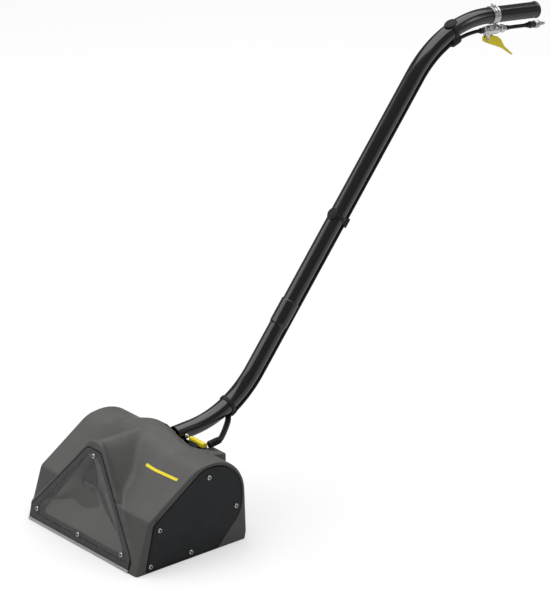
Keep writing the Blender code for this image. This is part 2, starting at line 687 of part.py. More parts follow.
def cord_place(s, kind):
    """Centre of the spray hose or the lead where they run under the wand.

    Past the top clip the lead swings round to the wand's left side, where its plug lies.
    """
    centre, _, under = wand_at(s)
    swing = float(smoothstep(s, 1013, 1054)) if kind == "lead" else 0.0
    side = {"hose": 3.3, "both": 0.0, "lead": -3.3 - 20.2 * swing}[kind]
    return centre + under * (CORD_DROP - 12.0 * swing) + v(side, 0, 0)


def clip(name, s, axis, look):
    """Band round the tube with a lobe under it that the hose and the lead pass through."""
    centre, ahead, under = wand_at(s)
    across = v(1, 0, 0)
    half = 7.0
    loops = []
    for k in (-half, half):
        loop = []
        for j in range(15):
            a = math.radians(-128 + 256 * j / 14)
            loop.append(centre + ahead * k + (across * math.sin(a) - under * math.cos(a)) * 18.6)
        loop.append(centre + ahead * k + under * 25.0 + across * 8.0)
        loop.append(centre + ahead * k + under * 25.0 - across * 8.0)
        loops.append(loop)
    body = loft(f"cord_clip_{name}", loops, look, axis)
    for part, radius, sides in (("tube", 16.5, 20), ("hose", HOSE_R + 0.5, 12), ("lead", LEAD_R + 0.5, 12)):
        places = [s - 14, s, s + 14]
        line = [wand_at(t)[0] if part == "tube" else cord_place(t, part) for t in places]
        cut(body, swept(f"clip_{name}_{part}_bore", line, radius, sides, None, axis))


def fitting_line():
    """Start and direction of the axis that the valve, the stub and the coupler share."""
    start, _, under = wand_at(VALVE_START)
    _, ahead, _ = wand_at(WAND_END - 40)
    return start + under * VALVE_DROP, ahead, v(0, ahead.z, -ahead.y)


def fitting_at(along, down=0.0):
    start, ahead, under = fitting_line()
    return start + ahead * along + under * down


def clamp_and_valve(axis, looks):
    centre, ahead, under = wand_at(CLAMP_PLACE)
    turned("hose_clamp", [(17.6, -6.5), (17.6, 6.5), (16.4, 6.5), (16.4, -6.5)], centre, ahead,
           looks["steel"], axis, sides=24, closed=True)
    turned("clamp_screw", [(3.6, -8), (3.6, 5), (2.6, 6.4)], centre - under * 21.8, v(1, 0, 0),
           looks["steel"], axis, sides=10)
    # valve: a turned body along the handle with a saddle up to the clamp and a plunger below
    start, ahead, under = fitting_line()
    profile = [(5.5, 0), (5.5, 8), (8.6, 10), (9.6, 14), (9.6, 36), (8.0, 40), (6.0, 42),
               (6.0, VALVE_LENGTH)]
    body = turned("spray_valve", profile, start, ahead, looks["chrome"], axis, sides=16)
    saddle = turned("valve_saddle", [(4.5, 0), (4.5, 11.2)], fitting_at(30), -under, None, axis, sides=12)
    cut(body, saddle, "UNION")
    # cheeks that carry the lever's pin
    for side in (-1, 1):
        corners = [fitting_at(a, d) for a, d in ((4, 3), (17, 3), (15, 21), (6, 21))]
        cheek = loft("valve_cheek", [[p + v(side * x, 0, 0) for p in corners] for x in (4.4, 6.6)], None, axis)
        cut(body, cheek, "UNION")
    pin = fitting_at(LEVER_PIN_PLACE, LEVER_PIN_DROP)
    cut(body, turned("cheek_bore", [(2.3, -12), (2.3, 12)], pin, v(1, 0, 0), None, axis, sides=12))
    bore = [(2.6, 1.6), (2.6, 20)]
    cut(body, turned("plunger_bore", bore, fitting_at(PLUNGER_PLACE), under, None, axis, sides=12))


# lever from the side, along and down from its pin
LEVER_SHAPE = [(-8, -2.5), (8, -4.2), (20, -3.5), (30, 2), (40, 14), (50, 27), (60, 38), (58, 41),
               (44, 34), (30, 26), (18, 22), (6, 17), (-2, 9), (-8, 3)]


def fitting_parts(axis, lever_axis, plunger_axis, collar_axis, looks):
    """What hangs on the valve: plunger, lever, hose nut, inlet stub and quick coupler."""
    start, ahead, under = fitting_line()
    turned("valve_plunger", [(2.3, 5), (2.3, 13.1), (1.2, 13.6)], fitting_at(PLUNGER_PLACE), under,
           looks["steel"], plunger_axis, sides=10)
    turned("hose_nut", [(6.0, -9), (6.0, -0.4), (4.5, -0.4)], start, ahead, looks["black"], axis, sides=6,
           smooth=False)
    pin = fitting_at(LEVER_PIN_PLACE, LEVER_PIN_DROP)
    turned("lever_pin", [(2.0, -7.5), (2.0, 7.5)], pin, v(1, 0, 0), looks["steel"], axis, sides=10)
    shape = [pin + ahead * along + under * down for along, down in LEVER_SHAPE]
    lever = loft("spray_lever", [[p + v(x, 0, 0) for p in shape] for x in (-4.0, 4.0)], looks["yellow"],
                 lever_axis, smooth=False)
    bore = [(2.35, -12), (2.35, 12)]
    cut(lever, turned("lever_pin_bore", bore, pin, v(1, 0, 0), None, lever_axis, sides=12))
    # inlet: stiff hose stub, then the quick coupler with its sliding collar
    out = VALVE_LENGTH
    turned("inlet_stub", [(3.8, out + 0.4), (3.8, out + 63)], start, ahead, looks["rubber"], axis, sides=12)
    body = [(5.2, 63.4), (7.0, 65), (7.0, 69), (5.4, 70), (5.4, 89), (3.6, 89.5)]
    turned("coupler_body", [(r, out + h) for r, h in body], start, ahead, looks["black"], axis, sides=14)
    collar = [(8.2, 76.5), (8.2, 88), (5.75, 88), (5.75, 76.5)]
    turned("coupler_collar", [(r, out + h) for r, h in collar], start, ahead, looks["steel"], collar_axis,
           sides=16, closed=True)
    nipple = [(4.6, out + 89.9), (4.6, out + 93), (3.4, out + 94), (3.4, FITTINGS_LENGTH)]
    turned("coupler_nipple", nipple, start, ahead, looks["steel"], axis, sides=12)


def bridge_line():
    """Route of the middle of the hose and lead from the boot to their run on the wand."""
    boot_end = BOOT + BOOT_AXIS * 26.4
    top = cord_place(CORD_START - 0.7, "both")
    _, ahead, _ = wand_at(CORD_START)
    middle = boot_end.lerp(top, 0.5) + v(2, 1, -4)
    route = [boot_end, boot_end + BOOT_AXIS * 8 + v(-2, 0, -0.5), middle, top - ahead * 15 + v(3, 0, 0), top]
    return smooth_line(route, 13)


def cord_parts(axis, looks):
    """Spray hose and lead: along the wand in its clips, and a free bridge down to the boot."""
    middle = bridge_line()
    kinds = (("hose", "spray_hose", HOSE_R, 3.3), ("lead", "power_lead", LEAD_R, -3.3))
    for kind, name, radius, out in kinds:
        bridge = []
        for k, p in enumerate(middle):
            ahead = (middle[min(k + 1, 12)] - middle[max(k - 1, 0)]).normalized()
            bridge.append(p + ahead.cross(v(0, 0, 1)).normalized() * out)
        swept(f"{name}_bridge", bridge, radius, 8, looks["rubber"])
        last = 1032.0 if kind == "hose" else LEAD_END
        line = [cord_place(s, kind) for s in wand_stations(CORD_START, last, 22)]
        if kind == "hose":
            end = fitting_at(-9.4)
            line += [line[-1].lerp(end, 0.5) + v(0, 0, -1.5), end]
        swept(name, line, radius, 8, looks["rubber"], axis)
    tail = cord_place(LEAD_END, "lead")
    _, ahead, _ = wand_at(LEAD_END)
    profile = [(3.6, 0.6), (6.0, 3), (7.4, 9), (7.4, 28), (5.6, 31)]
    turned("lead_plug", profile, tail, ahead, looks["rubber"], axis, sides=12)


def build():
    global ROOT
    for old in list(bpy.data.objects):
        bpy.data.objects.remove(old)
    ROOT = bpy.data.objects.new("machine_origin", None)
    bpy.context.collection.objects.link(ROOT)
    rear_end = fitting_at(FITTINGS_LENGTH, -3.4).y
    ROOT.location = v(0, -(rear_end + LIP_FRONT) / 2, 0) * MM
    looks = {
        "grey": material("moulded_grey", (0.20, 0.20, 0.195), 0.5),
        "dark": material("cover_black", (0.045, 0.047, 0.05), 0.45),
        "black": material("black_enamel", (0.012, 0.012, 0.014), 0.15),
        "clear": material("smoky_clear", (0.55, 0.55, 0.53), 0.12, 0.0, 0.5),
        "rubber": material("rubber_black", (0.02, 0.02, 0.02), 0.6),
        "chrome": material("chrome", (0.75, 0.75, 0.76), 0.12, 1.0),
        "steel": material("steel", (0.6, 0.6, 0.6), 0.3, 1.0),
        "yellow": material("signal_yellow", (0.86, 0.72, 0.03), 0.4),
        "plastic": material("inner_plastic", (0.06, 0.06, 0.065), 0.5),
        "bristle": material("bristle_blue", (0.08, 0.12, 0.25), 0.7),
        "brass": material("brass", (0.7, 0.5, 0.2), 0.3, 1.0),
        "lip": material("lip_pale", (0.6, 0.6, 0.58), 0.4),
    }
    brush_axis = axis_empty("brush_axis", 0, BRUSH_Y, BRUSH_Z)
    motor_axis = axis_empty("motor_axis", 0, MOTOR_Y, MOTOR_Z)
    pedal_axis = axis_empty("pedal_axis", 0, PEDAL_PIN_Y, PEDAL_PIN_Z)
    wand_axis = axis_empty("wand_axis", 0, PIVOT_Y, PIVOT_Z)
    lever_axis = axis_empty("lever_axis", *fitting_at(LEVER_PIN_PLACE, LEVER_PIN_DROP))
    plunger_axis = axis_empty("plunger_axis", *fitting_at(PLUNGER_PLACE))
    collar_axis = axis_empty("collar_axis", *fitting_at(COLLAR_PLACE))

    housing(looks["grey"])
    covers(looks["dark"], looks["steel"])
    window_parts(looks["clear"], looks["rubber"], looks["steel"])
    suction_parts(looks["grey"], looks["lip"])
    brush_parts(brush_axis, motor_axis, looks)
    chassis_parts(looks)
    rear_parts(looks, pedal_axis)
    wand_parts(wand_axis, looks)
    fitting_parts(wand_axis, lever_axis, plunger_axis, collar_axis, looks)
    cord_parts(wand_axis, looks)


build()
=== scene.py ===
"""Looks of a powered carpet-washing brush head on its cane-shaped suction wand.

Every size is in millimetres in the machine's own frame: x across the head, y back from its
front bottom edge, z up from the floor. world() turns such points into the frame's metres.
"""
import math

import bmesh
import bpy
import numpy as np
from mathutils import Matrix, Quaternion, Vector

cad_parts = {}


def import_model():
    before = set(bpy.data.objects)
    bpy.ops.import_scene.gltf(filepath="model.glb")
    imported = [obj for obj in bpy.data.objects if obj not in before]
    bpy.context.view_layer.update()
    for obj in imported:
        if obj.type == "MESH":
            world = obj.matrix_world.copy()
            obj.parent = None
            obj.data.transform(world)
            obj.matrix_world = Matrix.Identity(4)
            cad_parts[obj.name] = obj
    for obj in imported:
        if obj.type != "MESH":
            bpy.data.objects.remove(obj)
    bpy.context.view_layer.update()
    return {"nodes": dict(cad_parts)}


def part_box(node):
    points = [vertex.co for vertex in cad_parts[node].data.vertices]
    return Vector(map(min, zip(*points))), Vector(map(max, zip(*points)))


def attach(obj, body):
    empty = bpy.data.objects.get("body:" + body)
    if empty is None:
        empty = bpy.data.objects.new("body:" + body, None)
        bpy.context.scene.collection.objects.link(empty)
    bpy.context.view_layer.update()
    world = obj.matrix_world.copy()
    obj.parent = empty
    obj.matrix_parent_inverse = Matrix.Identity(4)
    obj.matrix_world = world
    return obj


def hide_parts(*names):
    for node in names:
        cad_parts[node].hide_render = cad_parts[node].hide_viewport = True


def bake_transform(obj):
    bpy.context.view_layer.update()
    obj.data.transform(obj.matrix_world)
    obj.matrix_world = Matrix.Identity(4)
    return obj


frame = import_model()

LIP_FRONT = -2.4
BACK_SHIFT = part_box("front_lip")[0].y - LIP_FRONT * 0.001

# Head
HALF = 167.5
HEAD_OUTLINE = [(0, 0, 0), (33, 102, 9), (149, 177.5, 60), (259, 177.5, 78), (265, 13, 8), (262, 0, 0)]
HEAD_CORE = np.array([130.0, 12.0])
SIDE_CORE = np.array([125.0, 70.0])
END_ROUND = 5.0
WALL = 4.2
STATIONS, LOOP_POINTS, FOOT_POINTS = 150, 290, 88
WINDOW_X = -10.0
WINDOW_LEAN = math.radians(13.2)
PANE_EDGE = -0.8
WINDOW_CORNERS = [(-162, 6, 0), (-162, 30, 4), (-30, 190, 14), (10, 190, 14), (142, 30, 4), (142, 6, 0)]
FUNNEL_CORNERS = [(-134, 24, 6), (-28, 178, 12), (8, 178, 12), (114, 24, 6)]
RIDGE_Z, RIDGE_FOOT_HALF, RIDGE_END_Y, HUMP_RISE = 199.5, 136.0, 192.0, 17.0
VALLEY_DEPTH = 13.0
REAR_BLOCK = [(243, 116, 0), (271, 118, 3), (271, 149, 4), (237, 156.5, 3), (237, 128, 0)]

# Wand
WAND_R = 16.0
WAND_BEND = 208.0
PIVOT_Y, PIVOT_Z = 205.0, 165.1
WAND_CORNERS = [(PIVOT_Y, PIVOT_Z), (360.5, 172), (896, 840.6), (1138, 810.2)]
KNUCKLE_R = 20.0
TILT_UP, TILT_DOWN = 12.0, 3.0
JOINT_START, JOINT_END, SOCKET_R = 332.8, 386.6, 17.6
CLIP_PLACES = {"lower": 155.0, "middle": 567.0, "upper": 995.0}
CLAMP_PLACE = 1116.0
HOSE_R, LEAD_R, CORD_DROP, CORD_START = 3.7, 3.5, 22.6, 149.0
LEAD_END, LEAD_SWING = 1066.0, (1013, 1054)
VALVE_DROP, VALVE_START, VALVE_LENGTH = 29.5, 1088.0, 58.0
PLUNGER_PLACE, LEVER_PIN_PLACE, LEVER_PIN_DROP = 24.0, 10.0, 17.5
BOOT = np.array([72.0, 251.5, 162.0])
BOOT_AXIS = np.array([0, 1, 0.10]) / math.hypot(1, 0.10)
PEDAL_PIN = np.array([24.0, 234.0, 147.0])


def world(points):
    """Machine millimetres to metres in the frame: scaled by a thousandth, then shifted back."""
    return np.asarray(points, float) * 0.001 + np.array([0, BACK_SHIFT, 0])


def unit(v):
    """Vectors divided by their own lengths."""
    v = np.asarray(v, float)
    return v / np.linalg.norm(v, axis=-1, keepdims=True)


def ease(value, low, high):
    """Smooth step: 3t^2 - 2t^3 of how far the value is from low to high."""
    t = np.clip((value - low) / (high - low), 0.0, 1.0)
    return t * t * (3 - 2 * t)


# ------------------------------------------------------------------ finishes

def finish_of(name, colour, roughness, metallic=0.0, mottle=0.06, mottle_size=25.0, grain=0.0,
              grain_size=1400.0, smudge=0.15, coat=0.0, alpha=1.0, upward_pale=0.0, gloss_level=0.5):
    """A surface finish from its colour, with cloudy variation, smudged gloss and a fine grain.

    Colour is mixed by a slow noise between a darker and a lighter tone of itself, roughness is
    mapped from a second noise, and the grain bumps the surface by a fast noise. Faces that point
    up are made lighter, mixed towards a pale grey.
    """
    mat = bpy.data.materials.new(name)
    mat.use_nodes = True
    tree = mat.node_tree
    shader = tree.nodes["Principled BSDF"]
    shader.inputs["Metallic"].default_value = metallic
    shader.inputs["Coat Weight"].default_value = coat
    shader.inputs["Coat Roughness"].default_value = 0.06
    shader.inputs["Alpha"].default_value = alpha
    shader.inputs["Specular IOR Level"].default_value = gloss_level
    place = tree.nodes.new("ShaderNodeTexCoord")

    def noise(size, detail, roughness_of=0.55):
        node = tree.nodes.new("ShaderNodeTexNoise")
        node.inputs["Scale"].default_value = size
        node.inputs["Detail"].default_value = detail
        node.inputs["Roughness"].default_value = roughness_of
        tree.links.new(place.outputs["Object"], node.inputs["Vector"])
        return node

    def mix(factor, low, high):
        node = tree.nodes.new("ShaderNodeMix")
        node.data_type = "RGBA"
        tree.links.new(factor, node.inputs["Factor"])
        for socket, value in ((node.inputs[6], low), (node.inputs[7], high)):
            if isinstance(value, bpy.types.NodeSocket):
                tree.links.new(value, socket)
            else:
                socket.default_value = (*value, 1.0)
        return node.outputs[2]

    def spread(source, low, high, to_low, to_high):
        node = tree.nodes.new("ShaderNodeMapRange")
        tree.links.new(source, node.inputs["Value"])
        for key, value in (("From Min", low), ("From Max", high), ("To Min", to_low), ("To Max", to_high)):
            node.inputs[key].default_value = value
        return node.outputs["Result"]

    colour = np.array(colour)
    tone = noise(mottle_size, 5)
    shade = mix(spread(tone.outputs["Fac"], 0.32, 0.68, 0, 1), colour * (1 - mottle), colour * (1 + mottle))
    speck = noise(mottle_size * 24, 2)
    shade = mix(spread(speck.outputs["Fac"], 0.58, 0.72, 0, 0.5 * mottle), shade, colour * 1.6 + 0.02)
    # colour mixed towards a pale grey by how far each face points up
    if upward_pale:
        normal = tree.nodes.new("ShaderNodeNewGeometry")
        parts = tree.nodes.new("ShaderNodeSeparateXYZ")
        tree.links.new(normal.outputs["Normal"], parts.inputs["Vector"])
        up = spread(parts.outputs["Z"], 0.35, 1.0, 0, upward_pale)
        shade = mix(up, shade, (0.45, 0.44, 0.42))
    tree.links.new(shade, shader.inputs["Base Color"])
    wiped = noise(mottle_size * 0.7, 6, 0.65)
    gloss = spread(wiped.outputs["Fac"], 0.3, 0.7, roughness * (1 - smudge), roughness * (1 + smudge))
    tree.links.new(gloss, shader.inputs["Roughness"])
    if grain:
        bump = tree.nodes.new("ShaderNodeBump")
        bump.inputs["Strength"].default_value = grain
        bump.inputs["Distance"].default_value = 0.0004
        tree.links.new(noise(grain_size, 3).outputs["Fac"], bump.inputs["Height"])
        tree.links.new(bump.outputs["Normal"], shader.inputs["Normal"])
    return mat


MOULDED_GREY = finish_of("moulded_grey", (0.090, 0.089, 0.085), 0.50, mottle=0.05, grain=0.30,
                         grain_size=1300, smudge=0.12, upward_pale=0.03, gloss_level=0.4)
COVER_BLACK = finish_of("cover_black", (0.019, 0.021, 0.023), 0.44, mottle=0.10, grain=0.22,
                        grain_size=1700, upward_pale=0.01, gloss_level=0.25)
ENAMEL = finish_of("black_enamel", (0.0045, 0.0045, 0.005), 0.17, mottle=0.2, grain=0.05, grain_size=300,
                   smudge=0.3, gloss_level=0.85)
CLEAR = finish_of("smoky_clear", (0.22, 0.22, 0.215), 0.12, mottle=0.05, smudge=0.4, alpha=0.22)
FLANGE = finish_of("smoky_clear_flange", (0.060, 0.062, 0.068), 0.25, mottle=0.05, smudge=0.4, alpha=0.85)
GASKET = finish_of("window_gasket_rubber", (0.010, 0.010, 0.012), 0.45, grain=0.2, grain_size=2200,
                   gloss_level=0.3)
RUBBER = finish_of("black_rubber", (0.014, 0.014, 0.015), 0.50, mottle=0.15, grain=0.4, grain_size=1800,
                   gloss_level=0.3)
CORD_SKIN = finish_of("cord_jacket", (0.012, 0.012, 0.013), 0.34, mottle=0.15, grain=0.2, grain_size=900,
                      gloss_level=0.3)
CHROME = finish_of("bright_chrome", (0.80, 0.80, 0.82), 0.10, 1.0, mottle=0.03, smudge=0.6)
ZINC = finish_of("zinc_steel", (0.62, 0.62, 0.61), 0.27, 1.0, mottle=0.08, grain=0.15, grain_size=2600)
YELLOW = finish_of("signal_yellow", (0.95, 0.78, 0.010), 0.33, mottle=0.03, grain=0.1, coat=0.15)
PALE = finish_of("pale_lip", (0.42, 0.42, 0.40), 0.35, mottle=0.06, grain=0.15)
INNER = finish_of("inner_plastic", (0.05, 0.05, 0.055), 0.5, grain=0.3)
SHOE_GREY = finish_of("suction_shoe_grey", (0.20, 0.20, 0.19), 0.5, mottle=0.06, grain=0.25)
# near-black finish: painted shade inside the suction duct and the port's throat
SHADE = finish_of("duct_dark", (0.022, 0.022, 0.020), 0.7, mottle=0.1, grain=0.2, gloss_level=0.2)
BRISTLE = finish_of("bristle_blue", (0.05, 0.09, 0.22), 0.7, mottle=0.3, mottle_size=400, grain=0.9,
                    grain_size=2500)
BRASS = finish_of("drawn_brass", (0.70, 0.50, 0.20), 0.3, 1.0, grain=0.1)


# ------------------------------------------------------------------ outlines and paths

def rounded(corners, step=8.0):
    """Closed corner list (a, b, radius) as points, each corner an arc of that radius."""
    count = len(corners)
    points = []
    for i in range(count):
        a, b, radius = corners[i]
        here = np.array([a, b], float)
        if radius <= 0:
            points.append(here[None])
            continue
        before = unit(np.array(corners[i - 1][:2]) - here)
        after = unit(np.array(corners[(i + 1) % count][:2]) - here)
        half = math.acos(np.clip(before @ after, -1, 1)) / 2
        centre = here + unit(before + after) * (radius / math.sin(half))
        start = here + before * (radius / math.tan(half)) - centre
        sweep = math.pi - 2 * half
        turn = -1 if before[0] * after[1] - before[1] * after[0] > 0 else 1
        angle = turn * sweep * np.linspace(0, 1, max(2, round(math.degrees(sweep) / step)) + 1)
        c, s = np.cos(angle), np.sin(angle)
        points.append(centre + np.stack([c * start[0] - s * start[1], c * start[1] + s * start[0]], 1))
    return np.concatenate(points)


def grown(corners, distance):
    """Corner list moved outward by a distance, mitred, each radius growing with it."""
    flat = np.array([c[:2] for c in corners], float)
    last = np.roll(flat, 1, axis=0)
    outward = 1 if np.sum(last[:, 0] * flat[:, 1] - last[:, 1] * flat[:, 0]) > 0 else -1
    edge = unit(np.roll(flat, -1, axis=0) - flat)
    normal = np.stack([edge[:, 1], -edge[:, 0]], 1) * outward
    first = np.roll(normal, 1, axis=0)
    share = distance / (1 + np.sum(first * normal, axis=1))
    place = flat + (first + normal) * share[:, None]
    return [(x, y, max(3.0, c[2] + distance) if c[2] else 0) for (x, y), c in zip(place, corners)]


def divided(loop, length=3.0, like=None):
    """A closed loop's straight runs divided evenly. like is a loop whose division is repeated."""
    base = loop if like is None else like
    span = np.linalg.norm(np.roll(base, -1, axis=0) - base, axis=1)
    parts = np.maximum(1, np.round(span / length)).astype(int)
    step = np.repeat(np.arange(len(loop)), parts)
    share = np.concatenate([np.arange(n) / n for n in parts])[:, None]
    return loop[step] * (1 - share) + np.roll(loop, -1, axis=0)[step] * share


def loop_distance(points, loop):
    """Signed distance of 2D points to a closed loop, negative inside, and the nearest places."""
    a = loop[None]
    edge = np.roll(loop, -1, axis=0)[None] - a
    p = points[:, None]
    t = np.clip(np.sum((p - a) * edge, -1) / np.maximum(np.sum(edge * edge, -1), 1e-9), 0, 1)
    near = a + edge * t[..., None]
    far = np.linalg.norm(p - near, axis=-1)
    best = np.argmin(far, axis=1)
    row = np.arange(len(points))
    above = a[..., 1] > p[..., 1]
    crossing = above != np.roll(above, -1, axis=1)
    rise = np.where(np.abs(edge[..., 1]) < 1e-9, 1e-9, edge[..., 1])
    left = p[..., 0] < a[..., 0] + (p[..., 1] - a[..., 1]) / rise * edge[..., 0]
    inside = np.sum(crossing & left, axis=1) % 2 == 1
    return np.where(inside, -far[row, best], far[row, best]), near[row, best]


def polar_reach(loop, core, angle):
    """Distance from a core point to a loop around it, at each angle."""
    dense = divided(loop, 1.5) - core
    at = np.arctan2(dense[:, 1], dense[:, 0])
    order = np.argsort(at)
    return np.interp(angle, at[order], np.hypot(*dense[order].T), period=2 * math.pi)


def bent_line(corners, radius):
    """Straight runs joined by arcs of one radius, in the YZ plane, with the length at each point."""
    pts = np.array(corners, float)
    out = [pts[:1]]
    for i in range(1, len(pts) - 1):
        before, after = unit(pts[i - 1] - pts[i]), unit(pts[i + 1] - pts[i])
        half = math.acos(before @ after) / 2
        centre = pts[i] + unit(before + after) * (radius / math.sin(half))
        start = pts[i] + before * (radius / math.tan(half)) - centre
        sweep = math.pi - 2 * half
        turn = -1 if before[0] * after[1] - before[1] * after[0] > 0 else 1
        angle = turn * sweep * np.linspace(0, 1, 65)
        c, s = np.cos(angle), np.sin(angle)
        out.append(centre + np.stack([c * start[0] - s * start[1], c * start[1] + s * start[0]], 1))
    line = np.concatenate(out + [pts[-1:]])
    return line, np.concatenate([[0], np.cumsum(np.linalg.norm(np.diff(line, axis=0), axis=1))])


WAND_LINE, WAND_LENGTHS = bent_line(WAND_CORNERS, WAND_BEND)
WAND_END = float(WAND_LENGTHS[-1])


def wand_at(s):
    """Centre, direction and underside direction of the wand at each length s."""
    s = np.atleast_1d(np.asarray(s, float))

    def place(t):
        y, z = (np.interp(t, WAND_LENGTHS, WAND_LINE[:, k]) for k in (0, 1))
        return np.stack([np.zeros_like(y), y, z], 1)
    ahead = unit(place(np.minimum(s + 1.5, WAND_END)) - place(np.maximum(s - 1.5, 0)))
    under = np.stack([ahead[:, 0], ahead[:, 2], -ahead[:, 1]], 1)
    return place(s), ahead, under


def spline(points, count):
    """Catmull-Rom curve through given points."""
    pts = np.array(points, float)
    pts = np.concatenate([[2 * pts[0] - pts[1]], pts, [2 * pts[-1] - pts[-2]]])
    u = np.linspace(0, len(pts) - 3, count)
    i = np.minimum(u.astype(int), len(pts) - 4)
    t = (u - i)[:, None]
    a, b, c, d = pts[i], pts[i + 1], pts[i + 2], pts[i + 3]
    return 0.5 * (2 * b + (c - a) * t + (2 * a - 5 * b + 4 * c - d) * t ** 2
                  + (3 * b - a - 3 * c + d) * t ** 3)


# ------------------------------------------------------------------ pieces

def piece(name, points, faces, look, body, slot, nodes=(), sharp=38.0, ride=True):
    """A closed mesh from points and faces on a body, standing for the CAD nodes it's given."""
    mesh = bpy.data.meshes.new(name)
    mesh.from_pydata(world(points).tolist(), [], [list(f) for f in faces])
    data = bmesh.new()
    data.from_mesh(mesh)
    bmesh.ops.remove_doubles(data, verts=data.verts, dist=1e-6)
    bmesh.ops.recalc_face_normals(data, faces=data.faces)
    data.to_mesh(mesh)
    data.free()
    mesh.shade_smooth()
    mesh.set_sharp_from_angle(angle=math.radians(sharp))
    mesh.materials.append(look)
    obj = bpy.data.objects.new(name, mesh)
    bpy.context.scene.collection.objects.link(obj)
    if ride:
        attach(obj, body)
    if nodes:
        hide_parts(*nodes)
    return obj


def grid_faces(rows, columns, ring_rows=False, ring_columns=True):
    """Quads between neighbours of a rows x columns grid of points."""
    i = np.arange(rows if ring_rows else rows - 1)[:, None]
    j = np.arange(columns if ring_columns else columns - 1)[None]
    k, n = (j + 1) % columns, (i + 1) % rows
    return np.stack(np.broadcast_arrays(i * columns + j, i * columns + k, n * columns + k, n * columns + j),
                    -1).reshape(-1, 4)


def body_of_rows(name, rows, look, body, slot, nodes=(), ring_rows=False, sharp=38.0, **more):
    """Closed body from rows of points round it; open ends get a flat cap."""
    rows = np.asarray(rows, float)
    count, columns = rows.shape[:2]
    faces = grid_faces(count, columns, ring_rows).tolist()
    if not ring_rows:
        faces.append(list(range(columns))[::-1])
        faces.append(list(range((count - 1) * columns, count * columns)))
    return piece(name, rows.reshape(-1, 3), faces, look, body, slot, nodes, sharp=sharp, **more)


def eased_profile(profile, radius=0.5, parts=3):
    """Open profile of (radius, height) with its corners cut by small quadratic curves."""
    pts = np.array(profile, float)
    out = [pts[:1]]
    for i in range(1, len(pts) - 1):
        before, after = pts[i - 1] - pts[i], pts[i + 1] - pts[i]
        r = min(radius, 0.45 * np.linalg.norm(before), 0.45 * np.linalg.norm(after))
        t = np.linspace(0, 1, parts + 1)[:, None]
        start, end = pts[i] + unit(before) * r, pts[i] + unit(after) * r
        out.append((1 - t) ** 2 * start + 2 * t * (1 - t) * pts[i] + t ** 2 * end)
    return np.concatenate(out + [pts[-1:]])


def turned(name, profile, base, direction, look, body, slot, nodes=(), sides=40, ring=False, soft=0.4,
           hexagon=None, lay=None, **more):
    """Turned body: each (radius, height) of the profile is a circle along a direction.

    hexagon gives the range of heights whose circles are pressed to six flats, of that radius.
    lay is a base, a long direction whose length stretches the circles to ovals, and an axis.
    """
    profile = eased_profile(profile, soft)
    w = unit(direction)
    a = unit(np.cross(w, [1.0, 0, 0] if abs(w[0]) < 0.9 else [0, 1.0, 0]))
    b = np.cross(w, a)
    t = 2 * math.pi * np.arange(sides) / sides
    reach = np.repeat(profile[:, :1], sides, axis=1)
    if hexagon:
        flats = np.cos(math.pi / 6) / np.cos((t + math.pi / 6) % (math.pi / 3) - math.pi / 6)
        pressed = (profile[:, 1] >= hexagon[0]) & (profile[:, 1] <= hexagon[1])
        reach = np.where(pressed[:, None], reach * flats, reach)
    if lay:
        base, a, w = lay
        b = unit(np.cross(w, a))
    circle = np.cos(t)[:, None] * a + np.sin(t)[:, None] * b
    rows = np.asarray(base) + profile[:, 1, None, None] * w + reach[..., None] * circle
    return body_of_rows(name, rows, look, body, slot, nodes, ring_rows=ring, **more)


def tube_rows(path, radius, sides, reference):
    """Circles along a path; each stands square to it, turned by a fixed reference direction."""
    path = np.asarray(path, float)
    ahead = unit(np.gradient(path, axis=0))
    across = unit(np.cross(ahead, np.asarray(reference, float)))
    up = np.cross(across, ahead)
    t = 2 * math.pi * np.arange(sides) / sides
    circle = np.cos(t)[None, :, None] * across[:, None] + np.sin(t)[None, :, None] * up[:, None]
    return path[:, None] + np.broadcast_to(radius, len(path))[:, None, None] * circle


def shrunk(loop, distance):
    """Closed 2D loop moved inward along its own averaged normals."""
    edge = unit(np.roll(loop, -1, axis=0) - np.roll(loop, 1, axis=0))
    area = np.sum(loop[:, 0] * np.roll(loop[:, 1], -1) - loop[:, 1] * np.roll(loop[:, 0], -1))
    inward = np.stack([-edge[:, 1], edge[:, 0]], 1) * (1 if area > 0 else -1)
    return loop + inward * distance


def slab(name, outline, x0, x1, edge, look, body, slot, nodes=(), length=3.0, **more):
    """Outline in the YZ plane carried along X, its two rims rounded by quarter circles."""
    loop = divided(outline, length)
    turn = np.linspace(0, math.pi / 2, 5)
    steps = [(x0 + edge * (1 - math.sin(a)), edge * (1 - math.cos(a))) for a in turn[::-1]]
    steps += [(x1 - edge * (1 - math.sin(a)), edge * (1 - math.cos(a))) for a in turn]
    rows = []
    for x, inset in steps:
        ring = shrunk(loop, inset)
        rows.append(np.column_stack([np.full(len(ring), x), ring]))
    return body_of_rows(name, rows, look, body, slot, nodes, **more)


# ------------------------------------------------------------------ head shell

def plane_reach(cy, cz, normal_y, normal_z, offset):
    """Distance along the ray (cy, cz) to a plane at that offset from the core."""
    slope = cy * normal_y + cz * normal_z
    return np.where(slope > 1e-6, offset / np.maximum(slope, 1e-6), 1e4)


OUTLINE_LOOP = rounded(HEAD_OUTLINE, 3.0)


def shoulder_edge(z):
    """Half distance from the window's middle line to the shoulders' inner edges at a height."""
    return np.interp(z, [20, 60, 104, 174, 200], [146, 106, 67, 30, 16])


